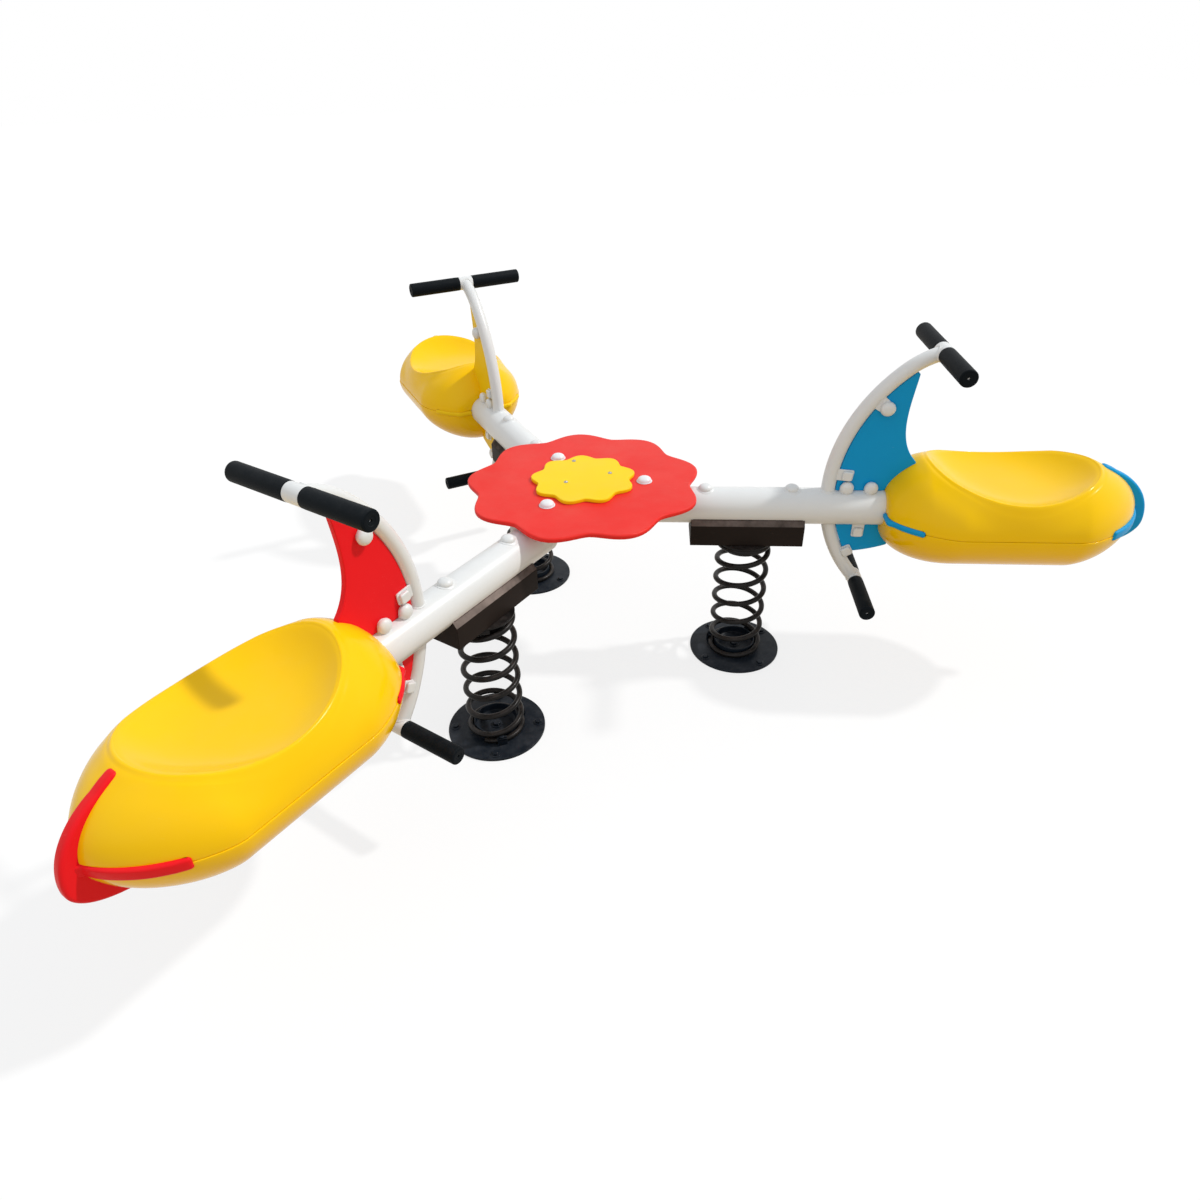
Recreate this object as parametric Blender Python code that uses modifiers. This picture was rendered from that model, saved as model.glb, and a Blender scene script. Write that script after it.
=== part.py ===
"""Playground seesaw with three seats on three coil springs.

Three tubular beams meet under a scalloped hub disc, 120 degrees apart.
Each beam is carried by one coil spring and ends inside a moulded seat.
A curved bow through the beam holds the handlebar above it and the foot bar below.
Metres, +Z up, the ground at Z = 0. Each arm is modelled along its own +X axis.
"""

import math

import bmesh
import bpy
import numpy as np
from mathutils import Matrix, Vector

# Fits shared by all pieces
GAP = 0.0003

# Arms: name, direction in degrees, colour of its panels
ARMS = (
    ("blue", 0.0, (0.015, 0.235, 0.480)),
    ("yellow", 120.0, (0.950, 0.600, 0.020)),
    ("red", 240.0, (0.780, 0.020, 0.035)),
)

# Beam tube
BEAM_RADIUS = 0.057
BEAM_WALL = 0.004
BEAM_HEIGHT = 0.560
BEAM_UNDER_HUB = 0.078
BEAM_IN_SEAT = 0.195

# Hub discs, hub plate and their bolts
HUB_LOBES = 9
HUB_LOBE_TURN = 17.0
RED_TIP_BEFORE_BOLT = 0.0105
RED_LOBE_DEPTH = 0.039
RED_THICKNESS = 0.015
CENTRE_TIP_BEFORE_BOLT = 0.026
CENTRE_LOBE_DEPTH = 0.022
CENTRE_THICKNESS = 0.012
HUB_PLATE_INSET = 0.072
HUB_PLATE_THICKNESS = 0.008
CRADLE_LENGTH = 0.062
CRADLE_CHEEK = 0.007
CRADLE_DROP = 0.040
HUB_BOLT_INSET = 0.108

# Bolts with domed caps
BOLT_SHANK_RADIUS = 0.006
BOLT_CAP_RADIUS = 0.021
BOLT_CAP_HEIGHT = 0.015
BOLT_NUT_RADIUS = 0.0105
BOLT_NUT_HEIGHT = 0.009

# Saddle channel between beam and spring
SADDLE_TO_SEAT = 0.410
SADDLE_LENGTH = 0.350
SADDLE_HALF_WIDTH = 0.062
SADDLE_TOP_HALF_WIDTH = 0.0545
SADDLE_DROP = 0.113
SADDLE_SHOULDER_DROP = 0.060
SADDLE_TOP_DROP = 0.028
SADDLE_WALL = 0.005
SADDLE_BOLT_SPACING = 0.265

# Coil spring and its end cups
SPRING_OUTER_RADIUS = 0.089
SPRING_WIRE_RADIUS = 0.0083
SPRING_ACTIVE_TURNS = 5.7
SPRING_END_TURNS = 0.70
SPRING_POINTS_PER_TURN = 9
SPRING_START_TURN = 0.04
CUP_CLEARANCE = 0.0006
CUP_HEIGHT = 0.030
CUP_WALL = 0.004
UPPER_FLANGE_RADIUS = 0.089
UPPER_FLANGE_THICKNESS = 0.006
BASE_RADIUS = 0.152
BASE_THICKNESS = 0.008
BASE_HOLE_RADIUS = 0.007
BASE_HOLE_CIRCLE = 0.130
BASE_HOLE_COUNT = 4
BASE_HOLE_TURN = 37.5
CLAMP_WIDTH = 0.030
CLAMP_THICKNESS = 0.007
CLAMP_COUNT = 2

# Bow tube, handlebar and foot bar
BOW_TUBE_RADIUS = 0.021
BOW_TUBE_WALL = 0.0032
BOW_ARC_RADIUS = 0.486
BOW_CENTRE_PAST_NOSE = 0.317
BOW_CENTRE_RISE = 0.064
BOW_TOP_ANGLE = 61.2
BOW_TOP_SWEEP = 12.0
HANDLEBAR_INSET = 0.012
BOW_BOTTOM_ANGLE = 42.4
HANDLEBAR_LENGTH = 0.428
FOOT_BAR_LENGTH = 0.418
GRIP_RADIUS = 0.024
GRIP_END_WALL = 0.006
GRIP_VENT_RADIUS = 0.003
BAR_BARE_LENGTH = 0.052

# Side panels, their lugs on the bow and the beam
PANEL_THICKNESS = 0.016
PANEL_BOW_GAP = 0.003
PANEL_EDGE = 0.002
PANEL_SEAT_GAP = 0.003
PANEL_TIP_ANGLE = 51.0
PANEL_TIP_WIDTH = 0.010
PANEL_SHELF_REACH = 0.074
PANEL_SHELF_RISE = 0.156
PANEL_FOOT_REACH = 0.037
PANEL_FOOT_DROP = 0.134
LUG_THICKNESS = 0.005
LUG_WIDTH = 0.036
LUG_LENGTH = 0.064
LUG_HEIGHT = 0.031
UNDER_LUG_HEIGHT = 0.052
HIGH_LUG_ANGLE = 36.0
MIDDLE_LUG_ANGLE = 6.0
LOW_LUG_ANGLE = 28.5
LOW_LUG_LENGTH = 0.045
FIRST_BEAM_LUG_BACK = 0.117
SECOND_BEAM_LUG_BACK = 0.045
UNDER_LUG_BACK = 0.061

# Seat form
SEAT_NOSE = 0.925
SEAT_LENGTH = 0.734
SEAT_HALF_WIDTH = 0.208
SEAT_CROWN = 0.171
SEAT_KEEL = 0.167
SEAT_NOSE_HALF_WIDTH = 0.096
SEAT_NOSE_CROWN = 0.064
SEAT_NOSE_KEEL = 0.062
SEAT_NOSE_REACH = 0.150
SEAT_TAIL_REACH = 0.218
SEAT_SECTION_POWER = 1.8
SEAT_WALL = 0.005
SEAT_STATIONS = 11
SEAT_RING_POINTS = 9
DISH_PAST_NOSE = 0.351
DISH_HALF_LENGTH = 0.236
DISH_HALF_WIDTH = 0.162
DISH_DEPTH = 0.089
DISH_END_RISE = 0.040

# Seat plate and tail fin
SEAT_PLATE_THICKNESS = 0.018
SEAT_PLATE_PROUD = 0.006
SEAT_PLATE_RECESS = 0.012
FRONT_SLOT_LENGTH = 0.087
TAIL_SLOT_LENGTH = 0.119
SLOT_END_GAP = 0.003
FIN_THICKNESS = 0.026
FIN_EDGE = 0.006
FIN_DEPTH = 0.070
FIN_SLOT_RELIEF = 0.004
FIN_PROUD = 0.041
FIN_CENTRE_BACK = 0.159
FIN_CENTRE_DROP = 0.035
FIN_RISE = 0.176
FIN_DROP = 0.100
SEAT_BRACKET_LENGTH = 0.300
SEAT_BRACKET_WIDTH = 0.110
SEAT_BRACKET_THICKNESS = 0.006

# Rocking centre of the frame on its springs
ROCKING_HEIGHT = 0.440

# Number of flats used for round pieces
ROUND_LARGE = 24
ROUND_TUBE = 18
ROUND_GRIP = 12
ROUND_SMALL = 8
BOW_STEPS = 12

# Places along an arm, which all follow the seat's nose
SEAT_TAIL = SEAT_NOSE + SEAT_LENGTH
BEAM_OUTER_END = SEAT_NOSE + BEAM_IN_SEAT
SADDLE_CENTRE = SEAT_NOSE - SADDLE_TO_SEAT
BOW_CENTRE_OUT = SEAT_NOSE + BOW_CENTRE_PAST_NOSE
PANEL_SHELF_OUT = SEAT_NOSE + PANEL_SHELF_REACH
PANEL_FOOT_OUT = SEAT_NOSE + PANEL_FOOT_REACH
FIRST_BEAM_LUG_OUT = SEAT_NOSE - FIRST_BEAM_LUG_BACK
SECOND_BEAM_LUG_OUT = SEAT_NOSE - SECOND_BEAM_LUG_BACK
UNDER_LUG_OUT = SEAT_NOSE - UNDER_LUG_BACK
DISH_CENTRE = SEAT_NOSE + DISH_PAST_NOSE
FRONT_SLOT_END = SEAT_NOSE + FRONT_SLOT_LENGTH
TAIL_SLOT_START = SEAT_TAIL - TAIL_SLOT_LENGTH
FIN_CENTRE_OUT = SEAT_TAIL - FIN_CENTRE_BACK

# Hub sizes, which end just before each beam's inner saddle bolt
INNER_BOLT_OUT = SADDLE_CENTRE - SADDLE_BOLT_SPACING / 2
OUTER_BOLT_OUT = SADDLE_CENTRE + SADDLE_BOLT_SPACING / 2
RED_TIP_RADIUS = INNER_BOLT_OUT - RED_TIP_BEFORE_BOLT
RED_NOTCH_RADIUS = RED_TIP_RADIUS - RED_LOBE_DEPTH
HUB_PLATE_RADIUS = RED_TIP_RADIUS - HUB_PLATE_INSET
BEAM_INNER_END = HUB_PLATE_RADIUS - BEAM_UNDER_HUB
HUB_BOLT_RADIUS_OUT = HUB_PLATE_RADIUS - HUB_BOLT_INSET
CENTRE_TIP_RADIUS = HUB_BOLT_RADIUS_OUT - CENTRE_TIP_BEFORE_BOLT
CENTRE_NOTCH_RADIUS = CENTRE_TIP_RADIUS - CENTRE_LOBE_DEPTH

# Heights, which all follow the beam's middle
SADDLE_BOTTOM = BEAM_HEIGHT - SADDLE_DROP
SADDLE_SHOULDER = BEAM_HEIGHT - SADDLE_SHOULDER_DROP
SADDLE_TOP = BEAM_HEIGHT - SADDLE_TOP_DROP
BOW_CENTRE_HEIGHT = BEAM_HEIGHT + BOW_CENTRE_RISE
PANEL_SHELF_HEIGHT = BEAM_HEIGHT + PANEL_SHELF_RISE
PANEL_FOOT_HEIGHT = BEAM_HEIGHT - PANEL_FOOT_DROP
FIN_CENTRE_HEIGHT = BEAM_HEIGHT - FIN_CENTRE_DROP
BEAM_TOP = BEAM_HEIGHT + BEAM_RADIUS
HUB_PLATE_BOTTOM = BEAM_TOP + GAP
RED_BOTTOM = HUB_PLATE_BOTTOM + HUB_PLATE_THICKNESS + GAP
RED_TOP = RED_BOTTOM + RED_THICKNESS
CENTRE_BOTTOM = RED_TOP + GAP
COIL_RADIUS = SPRING_OUTER_RADIUS - SPRING_WIRE_RADIUS
COIL_INNER_RADIUS = COIL_RADIUS * math.cos(math.pi / SPRING_POINTS_PER_TURN) - SPRING_WIRE_RADIUS
CUP_RADIUS = COIL_INNER_RADIUS - CUP_CLEARANCE
COIL_BOTTOM = BASE_THICKNESS + GAP + SPRING_WIRE_RADIUS
UPPER_FLANGE_BOTTOM = SADDLE_BOTTOM - GAP - UPPER_FLANGE_THICKNESS
COIL_TOP = UPPER_FLANGE_BOTTOM - GAP - SPRING_WIRE_RADIUS


def clear_scene():
    for item in list(bpy.data.objects):
        bpy.data.objects.remove(item, do_unlink=True)


def new_collection(name):
    collection = bpy.data.collections.new(name)
    bpy.context.scene.collection.children.link(collection)
    return collection


def make_material(name, colour, roughness, metallic=0.0):
    material = bpy.data.materials.new(name)
    material.use_nodes = True
    shader = material.node_tree.nodes["Principled BSDF"]
    shader.inputs["Base Color"].default_value = (*colour, 1.0)
    shader.inputs["Roughness"].default_value = roughness
    shader.inputs["Metallic"].default_value = metallic
    material.diffuse_color = (*colour, 1.0)
    return material


def add_empty(name, parent=None, location=(0.0, 0.0, 0.0), turn=0.0):
    empty = bpy.data.objects.new(name, None)
    empty.empty_display_size = 0.1
    empty.location = location
    empty.rotation_euler = (0.0, 0.0, turn)
    empty.parent = parent
    PARTS.objects.link(empty)
    return empty


def add_part(name, mesh, parent, material):
    part = bpy.data.objects.new(name, mesh)
    mesh.materials.clear()
    mesh.materials.append(material)
    part.parent = parent
    PARTS.objects.link(part)
    mesh.shade_smooth()
    mesh.set_sharp_from_angle(angle=math.radians(35.0))
    return part


def add_cutter(name, mesh, parent):
    cutter = bpy.data.objects.new(name, mesh)
    cutter.parent = parent
    cutter.hide_render = True
    cutter.display_type = "WIRE"
    CUTTERS.objects.link(cutter)
    return cutter


def boolean(part, other, operation):
    modifier = part.modifiers.new(operation.lower(), "BOOLEAN")
    modifier.operation = operation
    modifier.solver = "EXACT"
    modifier.object = other


def cut(part, cutter):
    boolean(part, cutter, "DIFFERENCE")


def fuse(part, other):
    boolean(part, other, "UNION")


def add_bevel(part, width, segments=1, angle=55.0):
    modifier = part.modifiers.new("edge", "BEVEL")
    modifier.width = width
    modifier.segments = segments
    modifier.limit_method = "ANGLE"
    modifier.angle_limit = math.radians(angle)


def add_weld(part):
    """Merge the sliver edges that cuts leave."""
    modifier = part.modifiers.new("weld", "WELD")
    modifier.merge_threshold = 0.0001


def finish_mesh(name, bm):
    bmesh.ops.recalc_face_normals(bm, faces=bm.faces)
    mesh = bpy.data.meshes.new(name)
    bm.to_mesh(mesh)
    bm.free()
    return mesh


def box_mesh(name, low, high):
    bm = bmesh.new()
    low, high = Vector(low), Vector(high)
    size = high - low
    matrix = Matrix.Translation((low + high) / 2) @ Matrix.Diagonal((*size, 1.0))
    bmesh.ops.create_cube(bm, size=1.0, matrix=matrix)
    return finish_mesh(name, bm)


def rod_mesh(name, start, end, radius, sides, end_radius=None):
    """A straight round rod or cone from one point to another."""
    start, end = Vector(start), Vector(end)
    span = end - start
    turn = Vector((0.0, 0.0, 1.0)).rotation_difference(span).to_matrix().to_4x4()
    matrix = Matrix.Translation((start + end) / 2) @ turn
    bm = bmesh.new()
    far = radius if end_radius is None else end_radius
    bmesh.ops.create_cone(
        bm, cap_ends=True, segments=sides, radius1=radius, radius2=far,
        depth=span.length, matrix=matrix)
    return finish_mesh(name, bm)


def turned_mesh(name, profile, sides, centre=(0.0, 0.0)):
    """A solid turned about a vertical axis from a (radius, height) profile.

    The profile runs down the outer side from the top of the axis to its foot.
    """
    mesh = bpy.data.meshes.new(name)
    points = [(radius, 0.0, height) for radius, height in profile]
    edges = [(index, index + 1) for index in range(len(points) - 1)]
    mesh.from_pydata(points, edges, [])
    blank = bpy.data.objects.new(name, mesh)
    CUTTERS.objects.link(blank)
    screw = blank.modifiers.new("turn", "SCREW")
    screw.steps = sides
    screw.render_steps = sides
    screw.use_merge_vertices = True
    screw.merge_threshold = 0.00005
    result = evaluated_copy(blank, name)
    bpy.data.objects.remove(blank, do_unlink=True)
    result.transform(Matrix.Translation((centre[0], centre[1], 0.0)))
    return result


def evaluated_copy(item, name):
    bpy.context.view_layer.update()
    graph = bpy.context.evaluated_depsgraph_get()
    mesh = bpy.data.meshes.new_from_object(item.evaluated_get(graph))
    mesh.name = name
    bm = bmesh.new()
    bm.from_mesh(mesh)
    bmesh.ops.remove_doubles(bm, verts=bm.verts, dist=0.00002)
    bmesh.ops.recalc_face_normals(bm, faces=bm.faces)
    bm.to_mesh(mesh)
    bm.free()
    mesh.transform(item.matrix_world)
    return mesh


def curve_mesh(name, curve):
    blank = bpy.data.objects.new(name, curve)
    CUTTERS.objects.link(blank)
    mesh = evaluated_copy(blank, name)
    bpy.data.objects.remove(blank, do_unlink=True)
    bpy.data.curves.remove(curve)
    return mesh


def tube_mesh(name, points, radius, resolution):
    """A solid round bar that follows a list of points."""
    curve = bpy.data.curves.new(name, "CURVE")
    curve.dimensions = "3D"
    curve.bevel_depth = radius
    curve.bevel_resolution = resolution
    curve.use_fill_caps = True
    spline = curve.splines.new("POLY")
    spline.points.add(len(points) - 1)
    for target, point in zip(spline.points, points):
        target.co = (*point, 1.0)
    return curve_mesh(name, curve)


def plate_mesh(name, outline, thickness, holes=()):
    """A flat plate from a closed outline in X and Y, centred on Z = 0."""
    curve = bpy.data.curves.new(name, "CURVE")
    curve.dimensions = "2D"
    curve.fill_mode = "BOTH"
    curve.extrude = thickness / 2
    for loop in (outline, *holes):
        spline = curve.splines.new("POLY")
        spline.points.add(len(loop) - 1)
        for target, (across, up) in zip(spline.points, loop):
            target.co = (across, up, 0.0, 1.0)
        spline.use_cyclic_u = True
    return curve_mesh(name, curve)


def stand_plate(mesh):
    """Turn a flat plate so that its outline stands in X and Z."""
    mesh.transform(Matrix.Rotation(math.radians(90.0), 4, "X"))
    return mesh


def lift_plate(mesh, height):
    mesh.transform(Matrix.Translation((0.0, 0.0, height)))
    return mesh


def arc(centre, radius, start, end, count):
    """Points on an arc, angles in degrees from +X towards +Y or +Z."""
    angles = np.radians(np.linspace(start, end, count))
    return [(centre[0] + radius * math.cos(a), centre[1] + radius * math.sin(a)) for a in angles]


def lobed_outline(tip_radius, notch_radius, points_per_lobe=4):
    """The wavy edge of a hub disc."""
    count = HUB_LOBES * points_per_lobe
    outline = []
    for index in range(count):
        angle = 2 * math.pi * index / count
        wave = (0.5 + 0.5 * math.cos(HUB_LOBES * angle)) ** 0.8
        radius = notch_radius + (tip_radius - notch_radius) * wave
        turned = angle + math.radians(HUB_LOBE_TURN)
        outline.append((radius * math.cos(turned), radius * math.sin(turned)))
    return outline


def circle_outline(centre, radius, turn=0.0, sides=ROUND_SMALL):
    return arc(centre, radius, turn, turn + 360.0 - 360.0 / sides, sides)


def arm_point(out, turn):
    angle = math.radians(turn)
    return (out * math.cos(angle), out * math.sin(angle))


def domed_bolt_mesh(name, out, seat_height, foot_height):
    """A cap on a shank with its nut, the shank passing through what it clamps."""
    cap = []
    for step in range(4):
        angle = math.radians(90.0 - 30.0 * step)
        cap.append((BOLT_CAP_RADIUS * math.cos(angle),
                    seat_height + BOLT_CAP_HEIGHT * math.sin(angle)))
    cap[0] = (0.0, seat_height + BOLT_CAP_HEIGHT)
    nut_top = foot_height + BOLT_NUT_HEIGHT
    profile = cap + [
        (BOLT_SHANK_RADIUS, seat_height),
        (BOLT_SHANK_RADIUS, nut_top),
        (BOLT_NUT_RADIUS, nut_top),
        (BOLT_NUT_RADIUS, foot_height),
        (0.0, foot_height),
    ]
    return turned_mesh(name, profile, ROUND_SMALL, (out, 0.0))


def bow_point(angle, radius=BOW_ARC_RADIUS):
    """A point of the bow's arc, the angle up from the hub side, in degrees."""
    turn = math.radians(180.0 - angle)
    return (BOW_CENTRE_OUT + radius * math.cos(turn), BOW_CENTRE_HEIGHT + radius * math.sin(turn))


def bow_axis_point(angle):
    """A point of the bow tube's axis, which draws in a little below the handlebar."""
    share = max(angle - BOW_TOP_ANGLE + BOW_TOP_SWEEP, 0.0) / BOW_TOP_SWEEP
    return bow_point(angle, BOW_ARC_RADIUS - HANDLEBAR_INSET * share ** 2)


def bow_points(count):
    angles = np.linspace(-BOW_BOTTOM_ANGLE, BOW_TOP_ANGLE, count)
    spots = [bow_axis_point(angle) for angle in angles]
    return [(out, 0.0, height) for out, height in spots]


def falloff(distance, reach, power):
    """One at distance 0, falling to nothing at the reach, on a rounded curve."""
    share = min(max(distance / reach, 0.0), 1.0)
    return (1.0 - share ** power) ** (1.0 / power)


def seat_section(out):
    """Half width, crown and keel of the seat at a distance from the hub."""
    back = SEAT_NOSE_REACH - (out - SEAT_NOSE)
    past = SEAT_TAIL_REACH - (SEAT_TAIL - out)
    shapes = (
        (SEAT_NOSE_HALF_WIDTH, SEAT_HALF_WIDTH, 1.30, 1.77, back + 0.040, SEAT_NOSE_REACH + 0.040),
        (SEAT_NOSE_CROWN, SEAT_CROWN, 1.40, 1.85, back, SEAT_NOSE_REACH),
        (SEAT_NOSE_KEEL, SEAT_KEEL, 1.45, 1.50, back - 0.020, SEAT_NOSE_REACH - 0.020),
    )
    sizes = []
    for small, full, nose_power, tail_power, distance, reach in shapes:
        nose = falloff(distance, reach, nose_power)
        tail = falloff(past, SEAT_TAIL_REACH, tail_power)
        sizes.append((small + (full - small) * nose) * tail)
    return sizes


def seat_stations(inset):
    steps = np.linspace(0.0, 1.0, SEAT_STATIONS)
    shares = 0.5 - 0.5 * np.cos(math.pi * steps)
    return [SEAT_NOSE + inset + (SEAT_TAIL - SEAT_NOSE - 2 * inset) * share for share in shares]


def half_form_mesh(name, upper, inset, overrun):
    """One half of the seat's solid form, flat at the parting plane."""
    sign = 1.0 if upper else -1.0
    bm = bmesh.new()
    rings = []
    angles = np.linspace(0.0, math.pi, SEAT_RING_POINTS)
    sizes = []
    for out in seat_stations(inset)[:-1]:
        width, crown, keel = seat_section(out)
        sizes.append((out, width - inset, (crown if upper else keel) - inset))
    if inset > 0.0:
        sizes.append((SEAT_TAIL - 2.5 * inset, inset, inset))
    for out, width, rise in sizes:
        ring = []
        for angle in angles:
            across = math.copysign(abs(math.cos(angle)) ** (2 / SEAT_SECTION_POWER), math.cos(angle))
            up = abs(math.sin(angle)) ** (2 / SEAT_SECTION_POWER)
            ring.append(bm.verts.new((out, width * across, BEAM_HEIGHT + sign * (rise * up + GAP))))
        if overrun > 0.0:
            foot = BEAM_HEIGHT - sign * overrun
            ring.append(bm.verts.new((out, -width, foot)))
            ring.append(bm.verts.new((out, width, foot)))
        rings.append(ring)
    for ring, following in zip(rings, rings[1:]):
        size = len(ring)
        for index in range(size):
            after = (index + 1) % size
            bm.faces.new((ring[index], ring[after], following[after], following[index]))
    bm.faces.new(rings[0])
    if overrun > 0.0:
        bm.faces.new(list(reversed(rings[-1])))
    else:
        last = rings[-1]
        point = bm.verts.new((SEAT_TAIL - inset, 0.0, BEAM_HEIGHT + sign * GAP))
        for index in range(len(last)):
            bm.faces.new((last[index], last[(index + 1) % len(last)], point))
    return finish_mesh(name, bm)


def dish_floor(along, across):
    """Height of the seat dish, from shares of its half length and half width."""
    floor = BEAM_HEIGHT + SEAT_CROWN - DISH_DEPTH
    return floor + DISH_END_RISE * along ** 2 + 0.004 * across ** 2


def dish_mesh(name, offset):
    """The hollow that the rider sits in, as a solid to take away."""
    bm = bmesh.new()
    sides = 16
    shares = (0.55, 0.90)
    centre = bm.verts.new((DISH_CENTRE, 0.0, dish_floor(0.0, 0.0) - offset))
    rings = []
    for share in shares:
        ring = []
        for index in range(sides):
            angle = 2 * math.pi * (index + 0.5) / sides
            along, across = share * math.cos(angle), share * math.sin(angle)
            ring.append(bm.verts.new((
                DISH_CENTRE + (DISH_HALF_LENGTH + offset) * along,
                (DISH_HALF_WIDTH + offset) * across,
                dish_floor(along, across) - offset)))
        rings.append(ring)
    for spread, height in ((1.0, 0.020), (1.12, 0.140)):
        ring = []
        for index in range(sides):
            angle = 2 * math.pi * (index + 0.5) / sides
            along, across = spread * math.cos(angle), spread * math.sin(angle)
            rim = dish_floor(math.cos(angle), math.sin(angle)) + height - offset
            if spread > 1.0:
                rim = BEAM_HEIGHT + SEAT_CROWN + 0.060
            ring.append(bm.verts.new((
                DISH_CENTRE + (DISH_HALF_LENGTH + offset) * along,
                (DISH_HALF_WIDTH + offset) * across, rim)))
        rings.append(ring)
    first = rings[0]
    for index in range(sides):
        bm.faces.new((centre, first[index], first[(index + 1) % sides]))
    for ring, following in zip(rings, rings[1:]):
        for index in range(sides):
            after = (index + 1) % sides
            bm.faces.new((ring[index], ring[after], following[after], following[index]))
    bm.faces.new(rings[-1])
    return finish_mesh(name, bm)


def fin_arc(depth, grow, first, last, count):
    """An arc of the tail fin, a depth inside its outer edge and grown outwards.

    A grown arc runs on a little past both its ends.
    """
    reach = SEAT_TAIL + FIN_PROUD - FIN_CENTRE_OUT - depth + grow
    rise = FIN_RISE - 0.8 * depth + grow
    drop = FIN_DROP - min(depth, 0.6 * FIN_DROP) + grow
    angles = list(np.linspace(first, last, count))
    if grow != 0.0:
        wider = math.degrees(4.0 * abs(grow) / FIN_DROP)
        angles = [first + wider, *angles, last - wider]
    spots = []
    for angle in angles:
        turn = math.radians(angle)
        span = rise if angle > 0 else drop
        spots.append((FIN_CENTRE_OUT + reach * math.cos(turn),
                      FIN_CENTRE_HEIGHT + span * math.sin(turn)))
    return spots


def make_hub(root):
    white = make_material("hub_steel", (0.80, 0.80, 0.78), 0.40)
    red = make_material("hub_red", (0.800, 0.060, 0.050), 0.35)
    yellow = make_material("hub_yellow", (0.950, 0.600, 0.020), 0.35)
    hole = BOLT_SHANK_RADIUS + GAP
    spots = [(arm_point(HUB_BOLT_RADIUS_OUT, turn), turn) for _, turn, _ in ARMS]
    holes = [circle_outline(spot, hole, turn) for spot, turn in spots]

    disc = lobed_outline(RED_TIP_RADIUS, RED_NOTCH_RADIUS)
    mesh = plate_mesh("hub_disc", disc, RED_THICKNESS, holes)
    disc = add_part("hub_disc", lift_plate(mesh, RED_BOTTOM + RED_THICKNESS / 2), root, red)
    add_bevel(disc, 0.0035)

    badge = lobed_outline(CENTRE_TIP_RADIUS, CENTRE_NOTCH_RADIUS, 4)
    mesh = plate_mesh("hub_centre_disc", badge, CENTRE_THICKNESS)
    add_part("hub_centre_disc", lift_plate(mesh, CENTRE_BOTTOM + CENTRE_THICKNESS / 2),
                     root, yellow)

    rim = circle_outline((0.0, 0.0), HUB_PLATE_RADIUS, sides=ROUND_LARGE)
    mesh = plate_mesh("hub_plate", rim, HUB_PLATE_THICKNESS, holes)
    plate = add_part("hub_plate", lift_plate(mesh, HUB_PLATE_BOTTOM + HUB_PLATE_THICKNESS / 2),
                     root, white)
    start = HUB_PLATE_RADIUS - CRADLE_LENGTH
    half = BEAM_RADIUS + CRADLE_CHEEK
    for name, turn, _ in ARMS:
        spin = Matrix.Rotation(math.radians(turn), 4, "Z")
        block = box_mesh("cradle", (start, -half, BEAM_TOP - CRADLE_DROP),
                         (HUB_PLATE_RADIUS - 0.004, half, HUB_PLATE_BOTTOM + 0.002))
        block.transform(spin)
        fuse(plate, add_cutter("cradle_" + name, block, root))
    for name, turn, _ in ARMS:
        spin = Matrix.Rotation(math.radians(turn), 4, "Z")
        bore = rod_mesh("cradle_bore", (BEAM_INNER_END - 0.02, 0.0, BEAM_HEIGHT),
                        (HUB_PLATE_RADIUS + 0.05, 0.0, BEAM_HEIGHT), BEAM_RADIUS + GAP, ROUND_TUBE)
        bore.transform(spin)
        cut(plate, add_cutter("cradle_bore_" + name, bore, root))


def upright_cylinder(name, out, low, high, radius, sides=ROUND_SMALL):
    return rod_mesh(name, (out, 0.0, low), (out, 0.0, high), radius, sides)


def lug_mesh(name, out, side, reach, sign):
    """A round-ended lug standing on or hanging from the beam, beside the panel."""
    half = LUG_WIDTH / 2
    root_height = BEAM_HEIGHT + sign * (BEAM_RADIUS - 0.003)
    top = BEAM_HEIGHT + sign * (BEAM_RADIUS + reach - half)
    outline = [(out - half, root_height), (out + half, root_height)]
    head = arc((out, top), half, 0.0, sign * 180.0, 5)
    mesh = stand_plate(plate_mesh(name, outline + head, LUG_THICKNESS))
    shift = side * (PANEL_THICKNESS / 2 + GAP + LUG_THICKNESS / 2)
    mesh.transform(Matrix.Translation((0.0, shift, 0.0)))
    return mesh


def bow_lug_mesh(name, angle, side, length):
    """A round-ended lug on the inner side of the bow, beside the panel."""
    half = LUG_WIDTH / 2
    outline = [(-half, 0.0)] + arc((0.0, length - half), half, 180.0, 0.0, 5) + [(half, 0.0)]
    mesh = stand_plate(plate_mesh(name, outline, LUG_THICKNESS))
    centre = bow_point(angle, BOW_ARC_RADIUS - BOW_TUBE_RADIUS * 0.55)
    tilt = Matrix.Rotation(math.radians(90.0 + angle), 4, "Y")
    shift = side * (PANEL_THICKNESS / 2 + GAP + LUG_THICKNESS / 2)
    mesh.transform(Matrix.Translation((centre[0], shift, centre[1])) @ tilt)
    return mesh


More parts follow.
